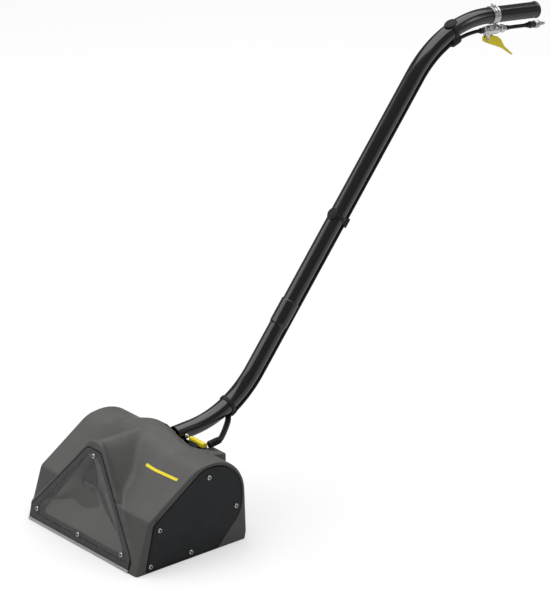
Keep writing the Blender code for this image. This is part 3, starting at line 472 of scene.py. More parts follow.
def pyramid_reach(x, cy, cz):
    """Distance from the core to the pyramid's skin: the last of the steps along the ray inside it.

    Inside means that x is within a half width, which for each height goes from the window
    frame's at the front plane to the ridge's a little way behind it, and lies before the
    ridge's sloping back end. Both half widths follow a hyperbola, so their tops are round.
    """
    away = np.abs(x - WINDOW_X)
    lean_c, lean_s = math.cos(WINDOW_LEAN), math.sin(WINDOW_LEAN)
    reach = np.zeros_like(x)
    last = None
    for r in np.arange(20.0, 262.0, 3.0):
        y, z = HEAD_CORE[0] + r * cy, HEAD_CORE[1] + r * cz
        drop = RIDGE_Z - z
        round_over = np.maximum(drop, 0) * (RIDGE_FOOT_HALF - 6) / RIDGE_Z + 18.0
        ridge = np.sqrt(np.maximum(round_over ** 2 - 324.0, 0))
        edge = np.maximum(drop, 0) * 0.815 + 9.0
        border = 11.0 + np.sqrt(np.maximum(edge ** 2 - 81.0, 0))
        depth = y * lean_c - z * lean_s
        share = ease(depth, 2.0, 17.0)
        half = border * (1 - share) + ridge * share
        inside = np.where(drop > 0, half - away, drop * 1.5)
        inside = np.minimum(inside, 0.76 * (RIDGE_END_Y - y) + 0.65 * (RIDGE_Z - z) + 2.0)
        inside = np.minimum(inside, RIDGE_END_Y - y)
        if last is not None:
            crossed = (last > 0) & (inside <= 0)
            reach = np.where(crossed, r - 3.0 + 3.0 * last / np.maximum(last - inside, 1e-6), reach)
        last = inside
    return reach


def head_reach(x, theta):
    """Distance from the core to the head's skin at x, in the direction theta.

    The skin is a soft maximum of the side outline with its hump and of the pyramid behind the
    window, cut off at the window's plane. A valley runs along the shoulders' inner edges.
    """
    cy, cz = np.cos(theta), np.sin(theta)
    degrees = np.degrees(theta)
    base = polar_reach(OUTLINE_LOOP, HEAD_CORE, theta)
    hump = HUMP_RISE * (1 - ease(np.abs(x + 10), 22, 100))
    base = base + hump * ease(degrees, 46, 68) * (1 - ease(degrees, 84, 108))
    away = np.abs(x - WINDOW_X)
    core_y, core_z = HEAD_CORE
    lean_c, lean_s = math.cos(WINDOW_LEAN), math.sin(WINDOW_LEAN)
    front = plane_reach(cy, cz, -lean_c, lean_s, core_y * lean_c - core_z * lean_s)
    # valley beside the ridge
    height = core_z + base * cz
    edge = away - shoulder_edge(height)
    front_half = ease(degrees, 96, 116) * (1 - ease(height, 172, 194))
    base = base - VALLEY_DEPTH * (1 - ease(edge, -10.0, 0.0)) * front_half
    stack = np.stack([base, np.minimum(pyramid_reach(x, cy, cz), front)])
    peak = stack.max(axis=0)
    soft = peak + 4.0 * np.log(np.exp((stack - peak) / 4.0).sum(axis=0)) - 0.3
    return np.minimum(soft, front)


def window_point(x, up, out=0.0):
    """Points on the window's plane, at a height along it, and out from it."""
    s, c = math.sin(WINDOW_LEAN), math.cos(WINDOW_LEAN)
    x, up, out = np.broadcast_arrays(np.asarray(x, float), up, out)
    return np.stack([x, up * s - out * c, up * c + out * s], -1)


def window_loop(grow, foot):
    """Window outline, moved out, as points (x, height along the plane) divided as the pane's edge is."""
    edge = rounded(grown(WINDOW_CORNERS, PANE_EDGE), 15.0)
    loop = divided(rounded(grown(WINDOW_CORNERS, grow), 15.0), 3.0, edge)
    return np.column_stack([loop[:, 0], np.maximum(loop[:, 1], foot)])


def cover_loop(grow=0.0):
    """Side cover: the head's outline a little way in, sweeping up at the lower rear."""
    corners = [(24 - grow, 3 - grow, 3), (44.5 - grow, 91 + grow * 0.4, 10), (160, 169.5 + grow, 48),
               (252 + grow, 169.5 + grow, 72), (252 + grow, 62, 60), (193 + grow * 0.5, 3 - grow, 10)]
    return rounded(corners, 5.0)


def wand_slot_loop():
    """The wand's opening seen from behind: a round hole drawn out over the wand's tilt."""
    rise = math.degrees(math.atan2(WAND_CORNERS[1][1] - PIVOT_Z, WAND_CORNERS[1][0] - PIVOT_Y))
    low = 26 * math.tan(math.radians(rise - TILT_DOWN - 0.5))
    high = 26 * math.tan(math.radians(rise + TILT_UP + 0.5))
    t = np.linspace(0, 2 * math.pi, 72, endpoint=False)
    swing = np.where(np.sin(t) > 0, high, low)
    return np.stack([18.8 * np.cos(t), PIVOT_Z + swing + 19.8 * np.sin(t)], 1)


def snapped_hole(flat, loop, near_enough):
    """Moves the points beside a hole's edge onto it. Returns the flat places and the side they're on."""
    distance, nearest = loop_distance(flat, loop)
    close = np.abs(distance) < near_enough
    return np.where(close[:, None], nearest, flat), np.where(close, 0.0, distance)


def kept_faces(faces, side):
    """Faces outside a hole; a face that the edge crosses corner to corner keeps its outer half."""
    s = side[faces]
    whole = faces[(s.min(axis=1) >= 0) & (s.max(axis=1) > 0)]
    halves = []
    for a, b, c, d in ((0, 1, 2, 3), (1, 2, 3, 0)):
        split = (s[:, b] == 0) & (s[:, d] == 0) & (s[:, a] * s[:, c] < 0)
        outer = np.where(s[split, a] > 0, a, c)
        third = faces[split][np.arange(split.sum()), outer] if split.any() else np.zeros(0, int)
        first, last = faces[split, b], faces[split, d]
        forward = outer == a
        halves.append(np.where(forward[:, None], np.stack([third, first, last], 1),
                               np.stack([third, last, first], 1)))
    return whole, np.concatenate(halves)


def scoop_depth(x, y, z):
    """How deep the hollow beside the wand's root is: a slow fall, then a step past its curved rim."""
    rim = np.interp(x, [14, 35, 60, 75, 84], [219, 225, 237, 249, 262])
    inside = ease(y - rim, 0.0, 3.0) * ease(x, 13, 16) * (1 - ease(x, 82, 85)) * ease(z, 146, 150)
    fall = 10.0 * ease(x, 4, 26) * (1 - ease(x, 58, 92)) * ease(y, 188, 226) * ease(z, 130, 150)
    return np.maximum(17.0 * inside, fall)


def calmed(reach, theta):
    """Averages each reach with its neighbours', twice, and cuts it off at the window's plane again."""
    for _ in range(2):
        reach[1:-1] = reach[1:-1] * 0.5 + (reach[2:] + reach[:-2]) * 0.25
        reach[:, 1:-1] = reach[:, 1:-1] * 0.5 + (reach[:, 2:] + reach[:, :-2]) * 0.25
    lean_c, lean_s = math.cos(WINDOW_LEAN), math.sin(WINDOW_LEAN)
    core_y, core_z = HEAD_CORE
    return np.minimum(reach, plane_reach(np.cos(theta), np.sin(theta), -lean_c, lean_s,
                                         core_y * lean_c - core_z * lean_s))


def head_shell():
    """The moulded shell, as loops of points at stations across the head.

    Each loop goes over the head and back along its open foot. Past each end's rounding the
    loops shrink to the side cover's outline, step in, and leave a ledge behind the cover.
    """
    low = math.atan2(-HEAD_CORE[1], 262 - HEAD_CORE[0])
    high = math.pi + math.atan2(HEAD_CORE[1], HEAD_CORE[0])
    fine = np.linspace(low, high, 1500)
    reach = head_reach(np.full_like(fine, WINDOW_X), fine)
    step = np.hypot(np.diff(reach), reach[1:] * np.diff(fine))
    length = np.concatenate([[0], np.cumsum(step)])
    theta = np.interp(np.linspace(0, length[-1], LOOP_POINTS), length, fine)
    turn = np.linspace(0, math.pi / 2, 6)
    ends = HALF - END_ROUND + END_ROUND * np.sin(turn)
    drop = END_ROUND * (1 - np.cos(turn))
    middle = np.linspace(-HALF + END_ROUND, HALF - END_ROUND, STATIONS)
    xs = np.concatenate([-ends[:0:-1], middle, ends[1:]])
    drops = np.concatenate([drop[:0:-1], np.zeros(STATIONS), drop[1:]])
    x, t = np.meshgrid(xs, theta, indexing="ij")
    r = head_reach(np.clip(x, -HALF + END_ROUND, HALF - END_ROUND), t) - drops[:, None]
    y, z = HEAD_CORE[0] + r * np.cos(t), np.maximum(HEAD_CORE[1] + r * np.sin(t), 0)
    r = r - scoop_depth(x, y, z)
    r = calmed(r, t)
    y, z = HEAD_CORE[0] + r * np.cos(t), np.maximum(HEAD_CORE[1] + r * np.sin(t), 0)
    z[:, [0, -1]] = 0
    # the loop's way back along the foot
    back = np.linspace(0, 1, FOOT_POINTS + 2)[1:-1]
    foot_y = y[:, -1:] * (1 - back) + y[:, :1] * back
    over = np.stack([x, y, z], -1)
    foot = np.stack([np.repeat(xs[:, None], FOOT_POINTS, 1), foot_y, np.zeros_like(foot_y)], -1)
    rows = np.concatenate([over, foot], axis=1)

    # side walls, from the last loop in to the cover's ledge
    cover = cover_loop(2.4)
    walls = []
    for side, edge in ((-1, rows[0]), (1, rows[-1])):
        angle = np.arctan2(edge[:, 2] - SIDE_CORE[1], edge[:, 1] - SIDE_CORE[0])
        outer = np.hypot(edge[:, 2] - SIDE_CORE[1], edge[:, 1] - SIDE_CORE[0])
        inner = polar_reach(cover, SIDE_CORE, angle)
        wall = []
        for share, inset, shrink in ((0.5, 0, 0), (0.92, 0, 0), (1, 0.5, 0), (1, 2.4, 0), (1, 4.4, 0),
                                     (1, 4.6, 0.4), (1, 4.6, 10)):
            reach = outer + (inner - outer) * share - shrink
            wall.append(np.stack([np.full_like(reach, side * (HALF - inset)),
                                  SIDE_CORE[0] + reach * np.cos(angle),
                                  SIDE_CORE[1] + reach * np.sin(angle)], -1))
        walls.append(np.array(wall))
    rows = np.concatenate([walls[0][::-1], rows, walls[1]])
    count, around = rows.shape[:2]
    points = rows.reshape(-1, 3)
    faces = grid_faces(count, around, False, True)

    # no faces along the open foot, except at the two side walls
    row, column = faces[:, 0] // around, faces[:, 0] % around
    side_rows = len(walls[0]) + len(turn) - 1
    inner_row = (row >= side_rows) & (row < count - 1 - side_rows)
    faces = faces[~(inner_row & (column >= len(theta) - 1))]

    # window opening, in the window's own plane
    up = points[:, 1] * math.sin(WINDOW_LEAN) + points[:, 2] * math.cos(WINDOW_LEAN)
    depth = points[:, 1] * math.cos(WINDOW_LEAN) - points[:, 2] * math.sin(WINDOW_LEAN)
    on_plane = np.abs(depth) < 3.0
    flat = np.column_stack([points[:, 0], up])
    loop = rounded(grown(WINDOW_CORNERS, 1.2), 8.0)
    moved, side = snapped_hole(flat[on_plane], loop, 1.2)
    window_side = np.full(len(points), 50.0)
    window_side[on_plane] = side
    points[on_plane, 0] = moved[:, 0]
    points[on_plane, 1:] += (moved[:, 1:] - up[on_plane, None]) * np.array(
        [[math.sin(WINDOW_LEAN), math.cos(WINDOW_LEAN)]])
    points[:, 2] = np.maximum(points[:, 2], 0)
    whole, halves = kept_faces(faces, window_side)

    # opening for the wand, seen from behind
    behind = (points[:, 1] > 204) & (np.abs(points[:, 0]) < 40) & (points[:, 2] > 120)
    moved, side = snapped_hole(points[behind][:, [0, 2]], wand_slot_loop(), 1.3)
    slot_side = np.full(len(points), 50.0)
    slot_side[behind] = side
    points[behind, 0], points[behind, 2] = moved[:, 0], moved[:, 1]
    whole, more = kept_faces(whole, slot_side)
    faces = whole.tolist() + halves.tolist() + more.tolist()

    used, where = np.unique(np.concatenate([np.ravel(f) for f in faces]), return_inverse=True)
    sizes = np.cumsum([0] + [len(f) for f in faces])
    faces = [where[a:b] for a, b in zip(sizes[:-1], sizes[1:])]
    shell = piece("head_shell", points[used], faces, MOULDED_GREY, "head", "moulded_grey",
                  ["housing"], sharp=50)
    # the wall is worked out here, so that its foot can be pressed flat on the floor
    thick = shell.modifiers.new("wall", "SOLIDIFY")
    thick.thickness = WALL * 0.001
    thick.offset = -1
    worked = shell.evaluated_get(bpy.context.evaluated_depsgraph_get())
    walled = bpy.data.meshes.new_from_object(worked)
    shell.modifiers.clear()
    shell.data = walled
    place = np.empty(len(walled.vertices) * 3)
    walled.vertices.foreach_get("co", place)
    place[2::3] = np.maximum(place[2::3], 0.0)
    walled.vertices.foreach_set("co", place)
    walled.update()


head_shell()


# ------------------------------------------------------------------ window

SCREWS_ON_WINDOW = {"top": (2.0, 178.0), "left": (-133.0, 27.0), "foot": (-4.0, 21.0), "right": (126.0, 27.0)}


def window_pane():
    """Clear pane: rings of its outline shrinking to the middle, raised inside a flat flange.

    A point's height out of the plane is the raise, eased in over the flange's inner edge and
    eased out again round each screw.
    """
    rings = [(PANE_EDGE, -2.0), (PANE_EDGE, -0.6), (PANE_EDGE, 0.2), (-1.0, 0.45), (-1.3, 0.6)]
    rings += [(d, None) for d in (-3, -5, -7, -8.5, -9.5, -10.2, -10.8, -11.3, -11.8, -12.3, -12.8,
                                  -13.4, -14, -15)]
    rows = []
    screws = np.array(list(SCREWS_ON_WINDOW.values())) + [WINDOW_X, 0]

    def raised(flat, inset):
        room = np.min(np.linalg.norm(flat[:, None] - screws[None], axis=-1), axis=1)
        return 0.6 + 2.4 * ease(inset, 10.0, 13.6) * ease(room, 6.5, 9.5)
    for grow, out in rings:
        loop = window_loop(grow, 6.8 - grow if grow < -1.2 else 6.8)
        rows.append(window_point(loop[:, 0], loop[:, 1], raised(loop, -grow) if out is None else out))
    centre = np.array([WINDOW_X, 70.0])
    for share in np.linspace(0.94, 0.06, 16):
        ring = centre + (loop - centre) * share
        rows.append(window_point(ring[:, 0], ring[:, 1], raised(ring, 20.0)))
    pane = body_of_rows("window_pane", rows, CLEAR, "head", "smoky_clear", ["window"], sharp=25)
    pane.data.materials.append(FLANGE)
    up = window_point(0, 0, 1)
    flat = (np.array([tuple(f.center) for f in pane.data.polygons]) - world((0, 0, 0))) @ up * 1000
    flags = np.where((flat < 0.75) & (flat > -1.9), 1, 0).astype(np.int32)
    pane.data.polygons.foreach_set("material_index", flags)
    pane.data.update()


def window_trim():
    """Dark seal round the pane: a band that shows as a line outside it and as its flange's bed."""
    rows = []
    for grow, foot, out in ((0.9, 6.0, -4.1), (0.9, 6.0, 0.35), (-0.7, 6.6, 0.5), (-0.7, 6.6, -2.2),
                            (-11.6, 17.4, -2.3), (-11.6, 17.4, -4.1)):
        loop = window_loop(grow, foot)
        rows.append(window_point(loop[:, 0], loop[:, 1], out))
    body_of_rows("window_gasket", rows, GASKET, "head", "rubber_black", ["window_seal"], ring_rows=True)


def suction_shoe():
    """Back wall behind the pane: a shallow pyramid of creases that falls to an oval port.

    The wall's depth is set by rings of its outline that shrink to the port; past the port's
    rim they go back into its throat.
    """
    loop = divided(rounded(FUNNEL_CORNERS, 12.0), 3.0)
    port = np.array([WINDOW_X - 25.0, 121.0])
    angle = np.arctan2(loop[:, 1] - port[1], loop[:, 0] - port[0])
    narrow = 1 - 0.28 * np.sin(angle)
    oval = port + np.stack([23 * narrow * np.cos(angle), 39 * np.sin(angle)], 1)
    rows = []
    for share, out in ((0, -27.5), (0, -7.5), (0.04, -7.2), (0.2, -9.6), (0.4, -13.0), (0.6, -16.4),
                       (0.8, -19.6), (0.93, -21.6), (0.985, -22.6), (1.0, -24.0), (1.0, -26.5),
                       (0.985, -27.5)):
        ring = loop + (oval - loop) * share
        rows.append(window_point(ring[:, 0], ring[:, 1], out))
    body_of_rows("suction_shoe", rows, SHOE_GREY, "head", "moulded_grey", ["suction_funnel"],
                 ring_rows=True, sharp=30)
    # the throat is near black: painted shade inside the port
    throat = []
    for share, out in ((0, -40.0), (0, -25.5), (0.02, -25.4), (0.03, -38.0), (0.5, -38.5), (0.96, -38.6)):
        ring = oval + (port - oval) * share
        throat.append(window_point(ring[:, 0], ring[:, 1], out))
    body_of_rows("port_throat", throat, SHADE, "head", "inner_plastic", sharp=30)


def screw(name, node, place, outward):
    """Pan-head screw: a low dome with a hexagonal socket sunk in its middle."""
    profile = [(1.7, -2.4), (1.7, 0), (4.6, 0.0), (4.8, 0.7), (4.3, 1.7), (2.8, 2.3), (2.25, 2.3),
               (2.2, 0.7), (0.4, 0.6)]
    head = turned(name, profile, place, outward, ZINC, "head", "steel", [node], sides=36, soft=0.35,
                  sharp=35)
    # the socket's faces get black rubber: painted shade inside the recess
    head.data.materials.append(RUBBER)
    centre = np.array([tuple(f.center) for f in head.data.polygons]) - world(place)
    up = centre @ unit(outward)
    off_axis = np.linalg.norm(centre - np.outer(up, unit(outward)), axis=1)
    head.data.polygons.foreach_set("material_index", ((off_axis < 0.0023) & (up > 0)).astype(np.int32))


def window_screws():
    """The screws that hold the pane, square to its plane."""
    outward = window_point(0, 0, 1)
    for name, (x, up) in SCREWS_ON_WINDOW.items():
        screw(f"window_screw_head_{name}", f"window_screw_{name}", window_point(WINDOW_X + x, up, 0.9),
              outward)


window_pane()
window_trim()
suction_shoe()
window_screws()


# ------------------------------------------------------------------ side covers, lip, rear

COVER_SCREWS = [(175, 151), (239, 74), (57, 79), (130, 12), (34, 11.5)]


def side_cover(side, name):
    """Flat cover in the shell's recess, its rim rounded and a shallow step inside the rim."""
    loop = divided(cover_loop(0.0), 4.0)
    rows = []
    for inset, x in ((0.0, HALF - 4.3), (0.0, HALF - 1.6), (0.15, HALF - 0.9), (0.6, HALF - 0.4),
                     (1.4, HALF - 0.2), (4.0, HALF - 0.2)):
        ring = shrunk(loop, inset)
        rows.append(np.column_stack([np.full(len(ring), side * x), ring]))
    body_of_rows(f"side_cover_{name}", rows, COVER_BLACK, "head", "cover_black", [f"cover_{name}"])
    places = COVER_SCREWS if side > 0 else [COVER_SCREWS[0], COVER_SCREWS[3]]
    for k, (y, z) in enumerate(places, 1):
        screw(f"side_screw_{name}_{k}", f"cover_{name}_screw_{k}", (side * (HALF - 0.05), y, z), (side, 0, 0))


for side, name in ((1, "right"), (-1, "left")):
    side_cover(side, name)


def front_lip():
    """Pale lip along the foot of the window."""
    outline = rounded([(LIP_FRONT, 0.5, 1.2), (2.2, 0.5, 0.3), (2.2, 5.2, 0.3), (-1.4, 5.2, 1.5)], 15)
    slab("suction_lip", outline, -162.6, 142.6, 1.0, PALE, "head", "lip_pale", ["front_lip"],
         length=2.0)


def stripe():
    """Plain painted stripe on the right shoulder, on the shell's own skin.

    The direction from the core to each of its points is found by steps, from the reach there.
    """
    x, y = np.meshgrid(np.linspace(57, 146, 60), np.linspace(-2.4, 2.4, 8), indexing="ij")
    y = y + 113.5 + (x - 57) * 0.035
    t = np.full_like(x, math.radians(94))
    for _ in range(12):
        t = np.arctan2(head_reach(x, t) * np.sin(t), y - HEAD_CORE[0])
    rows = []
    for extra in (0.35, -0.4):
        r = head_reach(x, t) + extra
        rows.append(np.stack([x, HEAD_CORE[0] + r * np.cos(t), HEAD_CORE[1] + r * np.sin(t)], -1))
    top, under = rows
    around = np.concatenate([top, under[:, ::-1]], axis=1)
    body_of_rows("shoulder_stripe", around, YELLOW, "head", "signal_yellow")


def rear_block():
    """Box at the rear that the cords' boot stands on."""
    outline = rounded(REAR_BLOCK, 12)
    slab("cable_box", outline, 62, 100, 3.0, MOULDED_GREY, "head", "moulded_grey", ["rear_block"])


def cable_boot():
    """Tapering boot with five ribs."""
    profile = [(0.5, 0.3), (7.0, 0.3), (7.2, 1.5)]
    for k in range(5):
        h = 2.4 + k * 4.5
        r = 7.4 - 0.05 * k
        profile += [(r, h), (r, h + 2.0), (r - 2.3, h + 2.6), (r - 2.3, h + 3.9)]
    profile += [(6.9, 24.9), (6.5, 26.4), (0.5, 26.6)]
    turned("ribbed_boot", profile, BOOT, BOOT_AXIS, RUBBER, "head", "rubber_black", ["cable_boot"],
           sides=36, soft=0.5)


def pedal():
    """Yellow pad of the pedal with the heel that its pin runs through, the heel coloured dark as painted
    shade under the pad.
    """
    pad = rounded([(238, 157, 2.4), (249, 156.5, 3), (249.5, 165.5, 4), (239, 168, 4)], 15)
    slab("yellow_pedal", pad, 27, 70, 1.6, YELLOW, "pedal", "signal_yellow", ["tilt_pedal"], length=2.0)
    heel = rounded([(229.6, 142.6, 3), (237.6, 142.6, 3), (243, 160, 1), (238.5, 162, 1)], 15)
    # the heel is a real part; its near-black colour is painted shade under the yellow pad
    slab("pedal_heel", heel, 30, 56, 0.8, INNER, "pedal", "inner_plastic", length=2.0)


def pedal_shade_plate():
    """Black plate painting the shade under the pedal: its outline (x, z) carried along Y, with small bevels.
    """
    plate = rounded([(-6, 124, 0), (62, 124, 0), (62, 157, 2), (17.4, 157, 0.5), (17, 148.0, 0),
                     (-6, 148.0, 2)], 20)
    rows = []
    for y, inset in ((252.0, 0.6), (252.6, 0.0), (254.6, 0.0), (255.2, 0.6)):
        ring = shrunk(divided(plate, 4.0), inset)
        rows.append(np.column_stack([ring[:, 0], np.full(len(ring), y), ring[:, 1]]))
    body_of_rows("pedal_shade_plate", rows, COVER_BLACK, "head", "cover_black")


def pedal_pin():
    """Steel rod that the pedal turns on."""
    turned("pedal_pin_rod", [(0.3, 0), (2.5, 0), (2.5, 37.7), (0.3, 37.7)], PEDAL_PIN, (1, 0, 0), ZINC,
           "head", "steel", ["pedal_pin"], sides=24)


front_lip()
stripe()
rear_block()
cable_boot()
pedal()
pedal_shade_plate()
pedal_pin()


# ------------------------------------------------------------------ wand

def pipe(name, s, radius, inner, nodes):
    """Open pipe along the wand: outer circles one way, inner circles back."""
    centre, _, under = wand_at(s)
    across = np.array([1.0, 0, 0])
    t = 2 * math.pi * np.arange(56) / 56
    circle = np.sin(t)[None, :, None] * across - np.cos(t)[None, :, None] * under[:, None]
    outer = centre[:, None] + np.asarray(radius)[:, None, None] * circle
    hollow = centre[:, None] + np.asarray(inner)[:, None, None] * circle
    rows = np.concatenate([outer, hollow[::-1]])
    body_of_rows(name, rows, ENAMEL, "wand", "black_enamel", nodes, ring_rows=True, sharp=45)


def lower_pipe():
    """Lower tube: its radius eases up to the socket's and ends in a small rolled lip."""
    s = np.concatenate([np.arange(KNUCKLE_R + 1.2, JOINT_START - 1, 4.0),
                        np.linspace(JOINT_START - 1, JOINT_START + 7, 7),
                        np.linspace(JOINT_START + 12, JOINT_END - 4, 10),
                        JOINT_END - 3 + 3 * np.sin(np.linspace(0, math.pi / 2, 6))])
    radius = WAND_R + (SOCKET_R - WAND_R) * ease(s, JOINT_START - 1, JOINT_START + 7)
    lip = np.clip((s - (JOINT_END - 3)) / 3, 0, 1)
    radius = radius + 0.5 * np.sin(lip * math.pi) - 0.6 * lip ** 3
    inner = np.where(s > JOINT_START + 6, WAND_R + 0.3, WAND_R - 1.2)
    pipe("lower_pipe", s, radius, inner, ["lower_tube"])


def upper_pipe():
    """Upper tube, from inside the socket to the handle's end with its raised bead."""
    s = np.concatenate([np.arange(JOINT_START + 8, WAND_END - 8, 4.0),
                        WAND_END - 8 + 8 * np.linspace(0, 1, 9)])
    back = WAND_END - s
    radius = WAND_R + 0.95 * ease(-back, -4.5, -2.6) - 0.7 * ease(-back, -1.2, 0.0)
    pipe("upper_pipe", s, radius, np.full_like(s, WAND_R - 1.2), ["upper_tube"])


def cord_line(s, kind):
    """Centre of the spray hose or the lead under the wand; the lead leaves it at the top."""
    centre, _, under = wand_at(s)
    swing = ease(np.atleast_1d(s), *LEAD_SWING) * (kind == "lead")
    side = {"hose": 3.7, "both": 0.0, "lead": -3.7}[kind] - 19.8 * swing
    return centre + under * (CORD_DROP - 12.0 * swing)[:, None] + np.outer(side, [1, 0, 0])


def strap(name, s, lug_r, button):
    """Rubber strap: a band round the wand that swells into a lug round the cords below.

    The band's reach from the wand's centre is the larger of a circle and of the lug's own
    circle seen from there; its half width grows with the lug. A round button lies on top.
    """
    centre, ahead, under = (v[0] for v in wand_at(s))
    t = 2 * math.pi * np.arange(96) / 96
    down = -np.cos(t)
    lug_centre = 21.6
    root = lug_r ** 2 - (lug_centre * np.sin(t)) ** 2
    lug = np.where((root > 0) & (down > 0), lug_centre * down + np.sqrt(np.maximum(root, 0)), 0)
    reach = 18.0 + 2.0 * np.log1p(np.exp((lug - 18.0) / 2.0)) * (down > -0.2)
    half = 4.0 + (lug_r - 5.5) * ease(down, 0.5, 0.95) + button * 0.25 * ease(-down, 0.75, 1.0)
    rows = []
    for k, drop in ((-1, 2.6), (-1, 0.8), (-0.86, 0.2), (-0.6, 0), (0, 0), (0.6, 0), (0.86, 0.2),
                    (1, 0.8), (1, 2.6)):
        r = reach - drop
        ring = np.outer(np.sin(t) * r, [1.0, 0, 0]) - np.outer(np.cos(t) * r, under)
        rows.append(centre + ring + np.outer(half * k, ahead))
    body_of_rows(f"strap_{name}", rows, RUBBER, "wand", "rubber_black", [f"cord_clip_{name}"],
                 sharp=40)
    if button:
        tilt = math.radians(12)
        axis = unit(-under * math.cos(tilt) + np.array([math.sin(tilt), 0, 0]))
        profile = [(0.5, 0), (9.6, 0), (10.4, 1.6), (10.2, 3.4), (8.8, 4.4), (7.6, 3.6), (6.4, 3.6),
                   (5.0, 4.6), (0.6, 4.9)]
        turned(f"strap_button_{name}", profile, (0, 0, 0), (0, 0, 1), RUBBER, "wand", "rubber_black",
               sides=48, soft=0.8, lay=(centre + axis * 15.6, ahead * button / 10, axis))


def root_pieces():
    """The wand's turning root in the head, and the head of the bolt through it."""
    turned("wand_root", [(0.5, -16), (17.5, -16), (17.5, 16), (0.5, 16)], (0, PIVOT_Y, PIVOT_Z),
           (1, 0, 0), ENAMEL, "wand", "black_enamel", ["wand_knuckle"], sides=48, soft=2.0)
    place = wand_at(37.0)[0][0] + np.array([16.0, 0, -3])
    turned("wand_bolt_head", [(0.5, 0), (4.7, 0), (4.8, 1.8), (3.6, 3.1), (0.5, 3.7)], place,
           (1, 0, 0), CHROME, "wand", "chrome", ["wand_bolt"], sides=32, soft=0.9)


lower_pipe()
upper_pipe()
strap("lower", CLIP_PLACES["lower"], 8.0, 0)
strap("middle", CLIP_PLACES["middle"] + 4, 11.0, 12)
strap("upper", CLIP_PLACES["upper"] + 6, 11.5, 14)
root_pieces()


# ------------------------------------------------------------------ cords

def fitting_at(along, down=0.0):
    """A point by its length along the handle fittings' own axis, and below it."""
    start, _, under = (v[0] for v in wand_at(VALVE_START))
    ahead = wand_at(WAND_END - 40)[1][0]
    below = np.array([0, ahead[2], -ahead[1]])
    return start + under * VALVE_DROP + ahead * along + below * down


FIT_AHEAD = unit(fitting_at(1.0) - fitting_at(0.0))
FIT_UNDER = np.array([0, FIT_AHEAD[2], -FIT_AHEAD[1]])


def cord(name, path, radius, reference, body, nodes, ride=True):
    """Round cord along a path, its ends capped flat."""
    rows = tube_rows(path, radius, 20, reference)
    return body_of_rows(name, rows, CORD_SKIN, body, "rubber_black", nodes, sharp=60, ride=ride)


def cords_on_wand():
    """Hose and lead along the wand's underside; the hose's last run is a spline up to its nut."""
    s = np.arange(CORD_START, 1010.5, 5.0)
    line = cord_line(s, "hose")
    end = fitting_at(-8.0)
    last = spline([line[-3], line[-1], line[-1] * 0.55 + end * 0.45 + [0, 0, 2.5],
                   end - FIT_AHEAD * 10, end], 40)
    cord("spray_hose_line", np.concatenate([line[:-3], last]), HOSE_R, (1, 0, 0), "wand",
         ["spray_hose"])
    s = np.arange(CORD_START, LEAD_END + 0.5, 5.0)
    cord("power_lead_line", cord_line(s, "lead"), LEAD_R, (1, 0, 0), "wand", ["power_lead"])


def bridges():
    """Hose and lead from the boot up to the wand, side by side."""
    boot_end = BOOT + BOOT_AXIS * 25.0
    top = cord_line(CORD_START + 0.7, "both")[0]
    ahead = wand_at(CORD_START)[1][0]
    turn = boot_end + BOOT_AXIS * 4.5 + [-1.0, 0, 1.0]
    route = [boot_end, turn, turn * 0.7 + top * 0.3 + [0, 1.5, -1.5],
             turn * 0.3 + top * 0.7 + [0, 1.0, -2.0], top - ahead * 5 + [0.5, 0, -0.5], top]
    line = spline(route, 60)
    across = unit(np.cross(np.gradient(line, axis=0), [0, 0, 1.0]))
    for kind, radius, out in (("hose", 3.0, 2.9), ("lead", 2.8, -2.9)):
        path = line + across * out
        path[-1] = cord_line(CORD_START + 0.7, kind)[0]
        name = {"hose": "spray_hose_bridge", "lead": "power_lead_bridge"}[kind]
        cable = cord(f"{name}_cord", path, radius, (0, 0, 1), "head", [name], ride=False)
        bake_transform(cable)


def lead_plug():
    """Moulded plug on the lead's far end, tapered where the lead enters it."""
    tail = cord_line(LEAD_END, "lead")[0]
    ahead = wand_at(LEAD_END)[1][0]
    profile = [(0.5, -1), (3.4, -1), (3.8, 1.5), (6.0, 4), (7.3, 9), (7.3, 28), (5.8, 30.6), (0.5, 31)]
    turned("moulded_plug", profile, tail, ahead, RUBBER, "wand", "rubber_black", ["lead_plug"],
           sides=36, soft=1.2)


cords_on_wand()
bridges()
lead_plug()


# ------------------------------------------------------------------ handle fittings

def clamp():
    """Worm-drive clamp: a thin band with its screw housing on top."""
    centre, ahead, under = (v[0] for v in wand_at(CLAMP_PLACE - 7))
    band = [(16.3, -8.3), (17.4, -8.3), (17.8, -7.4), (17.2, -6.0), (17.2, -1.2), (17.6, 0),
            (17.2, 1.2), (17.2, 6.0), (17.8, 7.4), (17.4, 8.3), (16.3, 8.3)]
    turned("clamp_band", band, centre, ahead, ZINC, "wand", "steel", ["hose_clamp"], sides=64,
           ring=True, soft=0.25)
    turned("clamp_worm", [(0.4, -6), (2.3, -6), (2.4, 3), (2.1, 3.4), (2.1, 5.0), (0.4, 5.4)],
           centre - under * 19.6, (1, 0, 0), ZINC, "wand", "steel", ["clamp_screw"], sides=30, soft=0.5,
           hexagon=(3.2, 7))
    turned("clamp_post", [(0.4, 0), (4.6, 0), (4.6, 9.0), (3.6, 10.5), (0.4, 11.2)], fitting_at(30),
           -FIT_UNDER, CHROME, "wand", "chrome", sides=30, soft=0.6)


